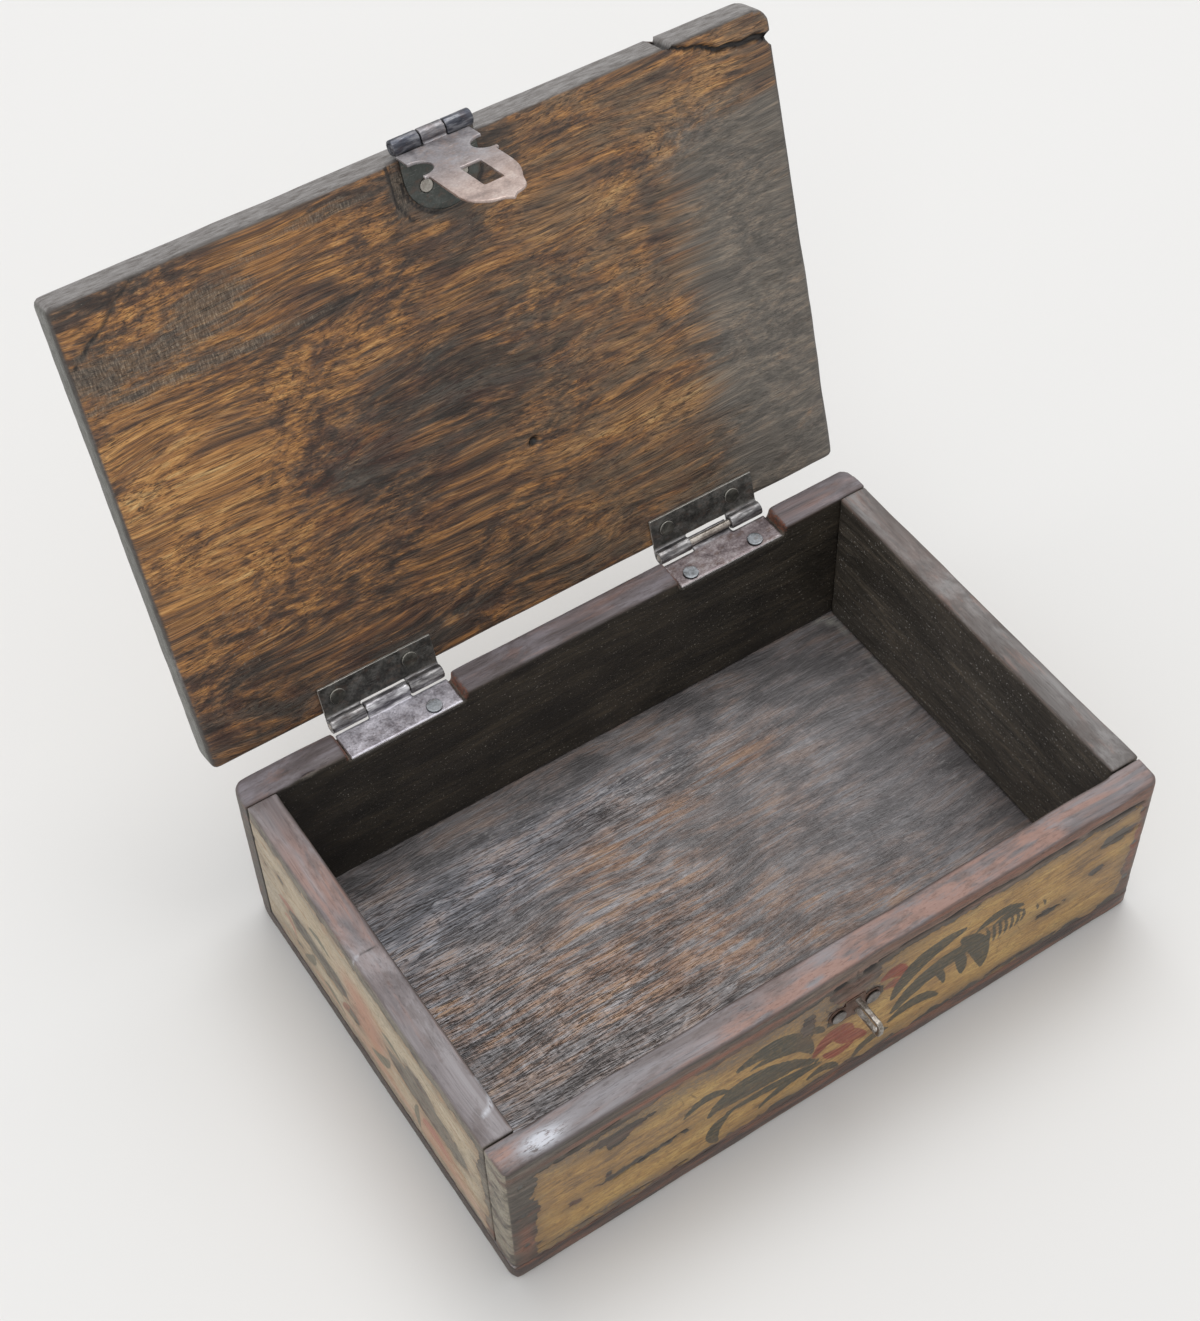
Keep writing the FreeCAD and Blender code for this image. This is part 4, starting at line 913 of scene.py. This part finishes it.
# A light side tone paints a highlight round the heads of the lid nails.
lid_head_iron = iron_finish("lid nail iron", ((64, 64, 60), (84, 83, 78), (110, 108, 102)),
                            (160, 156, 148), painted_side_shading=(178, 175, 168), rust_share=0.1)
for side in ("left", "right"):
    for kind, body, iron, slot, pitch, hammer in (
            ("hinge_box_leaf", "box", box_leaf_iron[side], "worn_iron", IRON_PITCH, 0.1),
            ("hinge_pin", "box", pin_iron, "worn_iron", PIN_PITCH, 0.04),
            ("hinge_box_nails", "box", head_iron, "nail_iron", PIN_PITCH, 0.1),
            ("hinge_lid_leaf", "lid", dark_iron, "dark_iron", IRON_PITCH, 0.1),
            ("hinge_lid_nails", "lid", lid_head_iron, "dark_iron", PIN_PITCH, 0.1)):
        laid = shut if body == "lid" else None
        piece = Worn("%s_butt_%s" % (side, kind), "%s_%s" % (side, kind), pitch, laid)
        forge(piece, lid_joint["pos_m"], hammer)
        piece.fit(iron, body)

# Staple: a bent strip of iron whose two legs go through a strap let into the front wall.
# The strap is held by two round-headed nails; the strip is rubbed bright by the hasp,
# and its lightest tone stands partly for painted highlights.

strap_iron = iron_finish("strap iron", ((70, 54, 48), (100, 80, 70), (128, 108, 98)),
                         (160, 146, 136), rust_share=0.4)
# A dark side tone paints the shade round the heads.
strap_head_iron = iron_finish("strap nail iron", ((96, 91, 88), (132, 128, 125), (166, 163, 161)),
                              (190, 187, 184), painted_side_shading=(76, 72, 69), rust_share=0.3)
# Its lightest tone, near white, stands partly for painted highlights.
loop_iron = iron_finish("staple iron", ((92, 84, 76), (150, 144, 136), (214, 211, 206)),
                        (236, 234, 230), rust_share=0.25, rough=0.3)
STAPLE_PIECES = [
    ("staple_strap", "staple_back_strap", strap_iron, "dark_iron"),
    ("staple_loop", "staple_bent_strip", loop_iron, "worn_iron"),
    ("staple_nails", "staple_strap_nails", strap_head_iron, "nail_iron"),
]
for node, name, iron, slot in STAPLE_PIECES:
    piece = Worn(name, node, PIN_PITCH)
    forge(piece, lid_joint["pos_m"], head=1)
    piece.fit(iron, "box")

# Lid: one wide hardwood board, stained on its inner face. Streaks of its golden brown
# figure show through; the end to the right is greyed, the front left corner still has
# the marks of the saw, and the front right corner has split along the grain.

LID_PITCH = 1.06
LID_ARRIS = 5
LID_RIPPLE = [(0.14, (28, 4.5, 9), 22), (0.08, (6, 1.8, 4), 23)]
LID_CRACK = [(88, 179), (94, 175.4), (97, 174.2), (102, 173.2), (108, 169.6), (113, 169.4), (118, 168),
             (123, 168.4), (131, 165.8)]
LID_SPLIT_CORNER = [(-129, 157), (-122, 163), (-117, 166), (-111, 172), (-104, 177)]
LID_HOLE = (11.4, 63.2)
LID_GOLDEN = [(-118, 100, 30, 42, 0.75), (-84, 104, 44, 34, 0.42), (-100, 62, 34, 16, 0.35),
              (-36, 118, 24, 5, 0.8), (46, 54.5, 36, 3.6, 1.0), (70, 50, 20, 7, 1.0),
              (56, 138, 26, 6, 0.9), (20, 150, 44, 10, 0.35), (66, 104, 34, 10, 0.4),
              (60, 78, 40, 7, 0.35), (-4, 160, 60, 6, 0.3), (100, 160, 28, 8, 0.4),
              (104, 52, 12, 4, 0.5), (-60, 170, 30, 6, 0.3)]
# Dark patches of the wood; the two by the hasp plate, at (4, 164) and (2, 174), are a painted shadow of
# the flap.
LID_DARK_WOOD_AND_SHADOW = [(-10, 96, 42, 24, 0.85), (-50, 79, 14, 8, 1.1), (-60, 92, 12, 10, 0.6),
            (-30, 112, 14, 5, 0.5), (-44, 60, 30, 8, 0.35), (0, 12, 130, 12, 0.55),
            (-110, 16, 40, 16, 0.45), (20, 36, 60, 6, 0.3), (0, 150, 10, 10, 0.4), (66, 44, 40, 3, 0.4),
            (-120, 176, 40, 4, 0.6), (4, 164, 20, 12, 1.3), (2, 174, 24, 5, 0.8),
            (72, 124, 3.5, 26, 0.7), (131, 90, 2.2, 100, 1.6)]
LID_RED = [(-52, 92, 12, 7, 1.0), (-70, 84, 10, 6, 0.7), (-36, 88, 8, 5, 0.7), (40, 90, 30, 8, 0.35),
           (-62, 70, 9, 6, 0.6)]
LID_SAWN = [(-84, 160, 15, 6.5, 1.2), (-104, 151, 26, 4.5, 1.1), (-92, 141, 40, 2.6, 1.1),
            (-124, 152, 10, 8, 1.0), (-13.6, 168, 2.6, 9, 1.1), (-40, 172, 22, 2.2, 0.8),
            (-64, 168, 10, 2, 0.6)]
PLATE_MIDDLE = (2.2, 170.3)
PLATE_ROUND = 14.6
SLIP_EDGE = [(-16.2, 179), (-15.6, 164), (-11.5, 157)]
UPPER_LOSS = [(-34, 122, 34, 8), (-14, 114, 20, 6), (58, 60, 22, 5), (70, 66, 14, 5), (-84, 44, 16, 4),
              (96, 132, 14, 4), (10, 28, 30, 3.4), (-104, 142, 8, 9), (20, 90, 9, 2.4),
              (-52, 80, 14, 2.6), (30, 142, 22, 2.2), (104, 92, 8, 3), (-20, 58, 12, 1.8),
              (-110, 92, 7, 4)]
UPPER_TORN = 22
UPPER_BORDER = 13
LID_SCRATCHES = [[(-116, 60), (-104, 52), (-98, 40)], [(-112, 56), (-102, 47), (-98, 36)],
                 [(-118, 52), (-108, 44), (-104, 32)], [(-110, 62), (-100, 56), (-94, 46)],
                 [(-38, 13), (-26, 10)], [(-34, 16), (-28, 12)], [(-120, 48), (-112, 40), (-108, 30)]]


def upper_coat(finish, place, tone):
    """The lid's outer face: old ochre paint, lost in places down to the stained wood."""
    patchy = finish.noise(place, (5, 2, 3), 5.0, 0.7)
    edge = finish.times_plus(patchy, 4.0, finish.less(finish.marked("paint"), 2.0))
    coat_tone = finish.times(finish.noise(place, (34, 16, 16), 4.0, 0.65), 0.5)
    coat_tone = finish.times_plus(patchy, 0.5, coat_tone)
    coat = finish.ramp(coat_tone, (0.38, (118, 98, 74)), (0.5, (160, 130, 88)), (0.62, (180, 152, 102)))
    smut = finish.between(finish.noise(place, (3, 1, 2), 4.0, 0.7), 0.54, 0.68, 0.0, 0.6)
    coat = finish.mix(smut, coat, (96, 80, 60))
    wood = finish.ramp(tone, (0.1, (70, 58, 54)), (0.5, (98, 84, 78)), (0.9, (126, 108, 98)))
    return finish.mix(finish.between(edge, -0.2, 0.2), wood, coat)


def lid_finish():
    finish = Finish("golden brown lid wood")
    figure = grain_of(finish, coarse=1.2, seed=3, length=0.62)
    place, sway = figure.place, figure.sway
    golden, dark = finish.marked("golden"), finish.marked("dark")
    grey, sawn = finish.marked("grey"), finish.marked("sawn")
    ripple = finish.noise(sway, (13, 2.6, 3), 4.0, 0.66, 0.9)
    mottle = finish.noise(sway, (12, 6, 6), 4.0, 0.6, 0.4)
    tone = finish.times_plus(figure.bands, 0.12, finish.between(ripple, 0.32, 0.68, 0.0, 0.24))
    tone = finish.times_plus(figure.streaks, 0.32, tone)
    tone = finish.plus(tone, finish.between(mottle, 0.34, 0.66, -0.02, 0.22))
    tone = finish.times_plus(golden, 0.26, tone)
    # Darker where marked dark: dark wood, and by the hasp plate a painted shadow of the flap.
    tone = finish.times_plus(dark, -0.26, tone)
    colour = finish.ramp(tone, (0.12, (46, 38, 33)), (0.3, (86, 67, 54)), (0.45, (128, 93, 64)),
                         (0.62, (176, 124, 72)), (0.8, (204, 152, 92)), (0.98, (220, 180, 122)))
    dull = finish.between(finish.noise(sway, (24, 8, 8), 4.0, 0.65), 0.34, 0.62)
    dull = finish.times(finish.marked("dull"), dull, clamp=True)
    colour = finish.mix(dull, colour, (138, 118, 94))
    blotch = finish.between(finish.noise(place, (16, 9, 9), 3.0, 0.6), 0.48, 0.62)
    red = finish.times(finish.marked("red"), finish.between(ripple, 0.4, 0.55))
    red = finish.times_plus(blotch, 0.4, red, clamp=True)
    red = finish.times(red, finish.between(golden, 0.1, 0.8, 1.0, 0.4))
    colour = finish.mix(red, colour, (96, 56, 42), 0.62)
    # Painted sheen: a greyish veil laid in soft streaks over the dark patches.
    sheen = finish.between(finish.noise(sway, (30, 6, 6), 3.0, 0.6), 0.42, 0.62)
    painted_sheen_on_dark = finish.times(finish.times(dark, 0.65, clamp=True), sheen)
    colour = finish.mix(painted_sheen_on_dark, colour, (100, 94, 86))
    lines = finish.between(finish.noise(sway, (12, 0.8, 1.4), 5.0, 0.7, 0.3), 0.52, 0.6, 0.0, 0.7)
    colour = finish.mix(lines, colour, (62, 43, 32))
    knots = finish.between(finish.noise(sway, (6, 1.5, 1.5), 5.0, 0.72, 0.5), 0.55, 0.65, 0.0, 0.8)
    colour = finish.mix(knots, colour, (52, 34, 28))
    glint = finish.between(finish.noise(sway, (9, 0.7, 1.4), 5.0, 0.7), 0.54, 0.65)
    glint = finish.times(glint, finish.between(tone, 0.2, 0.75))
    colour = finish.mix(glint, colour, (204, 160, 108), 0.65)
    grey_wood = finish.ramp(tone, (0.2, (92, 88, 82)), (0.5, (116, 112, 105)), (0.8, (140, 134, 124)))
    soft = finish.noise(sway, (18, 4, 4), 5.0, 0.7)
    greyed = finish.between(finish.times_plus(soft, 1.8, finish.less(grey, 0.95)), 0.0, 0.95)
    colour = finish.mix(greyed, colour, grey_wood, 0.85)
    teeth = finish.noise(place, (0.55, 2.6, 2), 4.0, 0.7)
    sawn_wood = finish.ramp(teeth, (0.32, (164, 152, 134)), (0.42, (124, 112, 98)),
                            (0.54, (90, 82, 73)), (0.66, (56, 50, 45)))
    sawn_edge = finish.noise(place, (9, 2.2, 3), 5.0, 0.75)
    sawn_edge = finish.times_plus(sawn_edge, 2.6, finish.less(sawn, 1.35))
    colour = finish.mix(finish.between(sawn_edge, 0.1, 0.9), colour, sawn_wood, 0.8)
    pores = finish.times(figure.pores, finish.between(grey, 0.0, 1.0, 0.62, 0.3))
    colour = finish.mix(pores, colour, (38, 30, 25))
    colour = fibrous(finish, figure, colour, 0.7, 1.2)
    dust = finish.between(finish.noise(place, (1.9, 0.5, 0.7), 2.0, 0.6), 0.71, 0.77, 0.0, 0.45)
    colour = finish.mix(dust, colour, (178, 168, 152))
    scratched = finish.between(finish.marked("scratch"), 0.3, 0.9, 0.0, 0.5)
    colour = finish.mix(scratched, colour, (170, 160, 146))
    side_grain = finish.noise(place, (5, 1.2, 1.2), 5.0, 0.7)
    side_wood = finish.ramp(side_grain, (0.34, (78, 71, 66)), (0.5, (116, 112, 110)),
                            (0.66, (138, 135, 133)))
    end_grain = finish.noise(place, (2, 6, 1.2), 4.0, 0.65)
    end_wood = finish.ramp(end_grain, (0.34, (66, 64, 58)), (0.6, (104, 104, 98)))
    edge_wood = finish.mix(finish.marked("end"), side_wood, end_wood)
    colour = finish.mix(finish.marked("edge"), colour, edge_wood)
    arris = finish.between(finish.marked("worn"), 0.1, 0.4, 0.0, 0.75)
    colour = finish.mix(arris, colour, (54, 46, 40))
    colour = finish.mix(finish.between(finish.marked("split"), 0.1, 0.8), colour, (28, 22, 19))
    colour = finish.mix(finish.marked("upper"), colour, upper_coat(finish, place, tone))
    height = grain_height(finish, figure, figure.pores, 0.7, 0.45, 0.4)
    height = finish.plus(height, finish.times(finish.times(sawn, teeth), 3.0))
    rough = finish.between(tone, 0.0, 1.0, 0.38, 0.58)
    return finish.set(colour, rough, finish.relief(height, 0.12))


lid = Worn("lid_plank", "lid_board", LID_PITCH, shut)
# The place on the lid, from left to right and from its back edge to its front edge.
flat = np.stack([lid.points[:, 0], lid.points[:, 1].max() - lid.points[:, 1]], axis=1)
across, forwards = flat.T
inner_face = lid.normals[:, 2] < -0.5
near_edge = np.min([flat - flat.min(axis=0), flat.max(axis=0) - flat], axis=(0, 2))
lid.wear(np.clip(0.12 + 0.7 * near(near_edge, LID_ARRIS) * uneven(lid.points, 16, 21), 0, 0.8), 6)
gape = 0.9 + 1.6 * rises(across, 98, 32)
crack = np.clip(1.3 * (1 - from_lines(flat, [LID_CRACK]) / gape), 0, 1)
crumbled = near(from_lines(flat, [LID_SPLIT_CORNER]), 1.6)
hole = np.clip(2 - np.hypot(*(flat - LID_HOLE).T) / 1.2, 0, 1) * inner_face
sawn = patches(flat, LID_SAWN)
torn = np.clip(sawn, 0, 1) * uneven(lid.start, (2.2, 2.6, 3), 24)
scratch = near(from_lines(flat, LID_SCRATCHES), 0.8)
on_inner_face = (0.5 * crumbled + 0.12 * scratch + 0.4 * torn) * inner_face
lid.sink(2.6 * crack + 2.2 * hole + on_inner_face + rippled(lid.start, LID_RIPPLE))
lid.mark("golden", patches(flat, LID_GOLDEN))
lid.mark("dark", patches(flat, LID_DARK_WOOD_AND_SHADOW))
lid.mark("red", patches(flat, LID_RED))
lid.mark("grey", rises(across, 70, 26) * near(forwards - 142, 18))
lid.mark("dull", 0.5 * rises(across, -20, 60))
lid.mark("sawn", (sawn + 0.5 * crumbled) * inner_face)
lid.mark("scratch", 0.7 * scratch * inner_face)
lid.mark("end", np.abs(lid.normals[:, 0]) > 0.7)
lid.mark("edge", np.abs(lid.normals[:, 2]) < 0.8)
from_round = np.abs(np.hypot(*(flat - PLATE_MIDDLE).T) - PLATE_ROUND)
plate_gap = near(from_round, 1.1, 0.8) * (forwards < PLATE_MIDDLE[1])
plate_gap = np.maximum(plate_gap, near(from_lines(flat, [SLIP_EDGE]), 1.0, 0.8)) * inner_face
crumbled *= 1.3 * uneven(lid.start, 2.4, 26) * inner_face
lid.mark("split", np.max([crack, hole, plate_gap, crumbled], axis=0))
pulled = np.stack([uneven(lid.start, 15, 64), 0.6 * uneven(lid.start, 9, 65)], axis=1) - 0.4
upper_lost = ovals(flat + UPPER_TORN * pulled, UPPER_LOSS)
splintered = 4.5 * (uneven(lid.start, 30, 63) - 0.5) + 3.4 * (uneven(lid.start, (9, 1.8, 4), 66) - 0.5)
upper_painted = np.minimum(near_edge - UPPER_BORDER, -upper_lost)
lid.mark("paint", upper_painted + ragged(lid.start, 61) + splintered)
lid.mark("upper", lid.normals[:, 2] > 0.5)
lid.fit(lid_finish(), "lid")

# Hasp: a round-ended plate let into the lid and held by two rivets filed flush, with a
# barrel in front of the lid's edge on which the flap swings. The flap is a shield with
# two barbs and a slot that drops over the staple.

HASP_LEAN = math.radians(3.2)
square_flap = turned(hasp_joint, close_angle + HASP_LEAN)
flap_iron = iron_finish("rubbed flap iron", ((148, 132, 126), (182, 163, 155), (204, 188, 178)),
                        (236, 232, 226), ((84, 84, 88), (120, 118, 122), (156, 154, 156)),
                        neck=((118, 115, 118), (142, 138, 141), (164, 160, 162)),
                        rust=(140, 116, 104), rust_share=0.2, rough=0.36)
plate_iron = iron_finish("hasp plate iron", ((62, 64, 62), (78, 81, 78), (98, 101, 98)),
                         (168, 166, 162), ((50, 52, 60), (78, 80, 88), (132, 133, 138)))
rivet_iron = iron_finish("rivet iron", ((128, 124, 116), (168, 164, 156), (192, 188, 180)),
                         (206, 202, 196), rust_share=0.15)
# Where the shield is trimmed: how much, how far from the pin, and how far from the middle.
FLAP_MIDDLE = 1.3
SHIELD_TRIM = 2.8
SHIELD_TRIM_FROM_PIN, SHIELD_TRIM_LENGTH = 46.5, 7
SHIELD_TRIM_OUT, SHIELD_TRIM_WIDTH = 4, 8


def trim_shield(flap):
    """Files the right side of the shield a little straighter towards its tip."""
    from_pin = np.abs(flap.points[:, 2] - hasp_joint["pos_m"][2] / MM)
    out = rises(flap.points[:, 0] - FLAP_MIDDLE, SHIELD_TRIM_OUT, SHIELD_TRIM_WIDTH)
    out = out * out * (3 - 2 * out)
    along = np.exp(-((from_pin - SHIELD_TRIM_FROM_PIN) / SHIELD_TRIM_LENGTH) ** 2)
    flap.points[:, 0] -= SHIELD_TRIM * out * along


HASP_PIECES = [
    ("hasp_plate", "hasp_round_plate", "lid", plate_iron, "dark_iron", shut),
    ("hasp_pin", "hasp_wire_pin", "lid", plate_iron, "dark_iron", shut),
    ("hasp_rivets", "hasp_flush_rivets", "lid", rivet_iron, "nail_iron", shut),
    ("hasp_flap", "hasp_shield_flap", "hasp", flap_iron, "flap_iron", square_flap),
]
for node, name, body, iron, slot, laid in HASP_PIECES:
    piece = Worn(name, node, PIN_PITCH, laid)
    forge(piece, hasp_joint["pos_m"])
    if node == "hasp_flap":
        trim_shield(piece)
    piece.fit(iron, body)

# Setting: a plain pale floor under soft, even studio light, and the camera at the
# height and distance of the photograph.

FLOOR_SIZE = 6.0
SKY_LEVEL = 0.62
CAMERA_PLACE = Vector((-0.26375, -0.37148, 0.70217))
CAMERA_LOOKS = Vector((0.32951, 0.53540, -0.77767))
CAMERA_ROLL = math.radians(-2.178)
FOCAL_LENGTH = 62.895

floor_mesh = bpy.data.meshes.new("floor")
half = FLOOR_SIZE / 2
floor_corners = [(-half, -half, 0), (half, -half, 0), (half, half, 0), (-half, half, 0)]
floor_mesh.from_pydata(floor_corners, [], [(0, 1, 2, 3)])
floor = bpy.data.objects.new("floor", floor_mesh)
bpy.context.scene.collection.objects.link(floor)
paper = Finish("pale floor")
paper.shader.inputs["Base Color"].default_value = (0.8, 0.795, 0.785, 1)
paper.shader.inputs["Roughness"].default_value = 0.7
floor_mesh.materials.append(paper.material)

world = bpy.data.worlds.new("soft studio")
bpy.context.scene.world = world
world.use_nodes = True
sky = world.node_tree.nodes["Background"]
links = world.node_tree.links
rays = world.node_tree.nodes.new("ShaderNodeLightPath")
seen = rays.outputs["Is Camera Ray"]
for ray in ("Is Glossy Ray", "Is Transmission Ray"):
    either = world.node_tree.nodes.new("ShaderNodeMath")
    either.operation = "MAXIMUM"
    links.new(seen, either.inputs[0])
    links.new(rays.outputs[ray], either.inputs[1])
    seen = either.outputs[0]
brightness = world.node_tree.nodes.new("ShaderNodeMapRange")
brightness.inputs["To Min"].default_value = SKY_LEVEL
brightness.inputs["To Max"].default_value = 1.0
links.new(seen, brightness.inputs["Value"])
links.new(brightness.outputs[0], sky.inputs["Strength"])
sky.inputs["Color"].default_value = (1, 1, 1, 1)


def soft_light(name, place, towards, size, watts):
    lamp = bpy.data.lights.new(name, "AREA")
    lamp.shape = "SQUARE"
    lamp.size = size
    lamp.energy = watts
    holder = bpy.data.objects.new(name, lamp)
    holder.location = place
    holder.rotation_euler = (Vector(towards) - Vector(place)).to_track_quat("-Z", "Y").to_euler()
    bpy.context.scene.collection.objects.link(holder)


soft_light("soft light above", (0.6, 0.8, 2.6), (0, 0, 0.05), 1.6, 32)
soft_light("soft light in front", (-1.3, -1.7, 2.0), (0, 0, 0.08), 1.4, 9)
soft_light("low light at the left", (-1.9, 0.3, 0.8), (0, 0, 0.05), 1.0, 4)

lens = bpy.data.cameras.new("camera")
lens.sensor_width = 36
lens.lens = FOCAL_LENGTH
lens.clip_start, lens.clip_end = 0.02, 20
camera = bpy.data.objects.new("camera", lens)
camera.location = CAMERA_PLACE
turn = CAMERA_LOOKS.to_track_quat("-Z", "Y") @ Quaternion((0, 0, 1), CAMERA_ROLL)
camera.rotation_euler = turn.to_euler()
bpy.context.scene.collection.objects.link(camera)
bpy.context.scene.camera = camera
bpy.context.scene.view_settings.view_transform = "Standard"
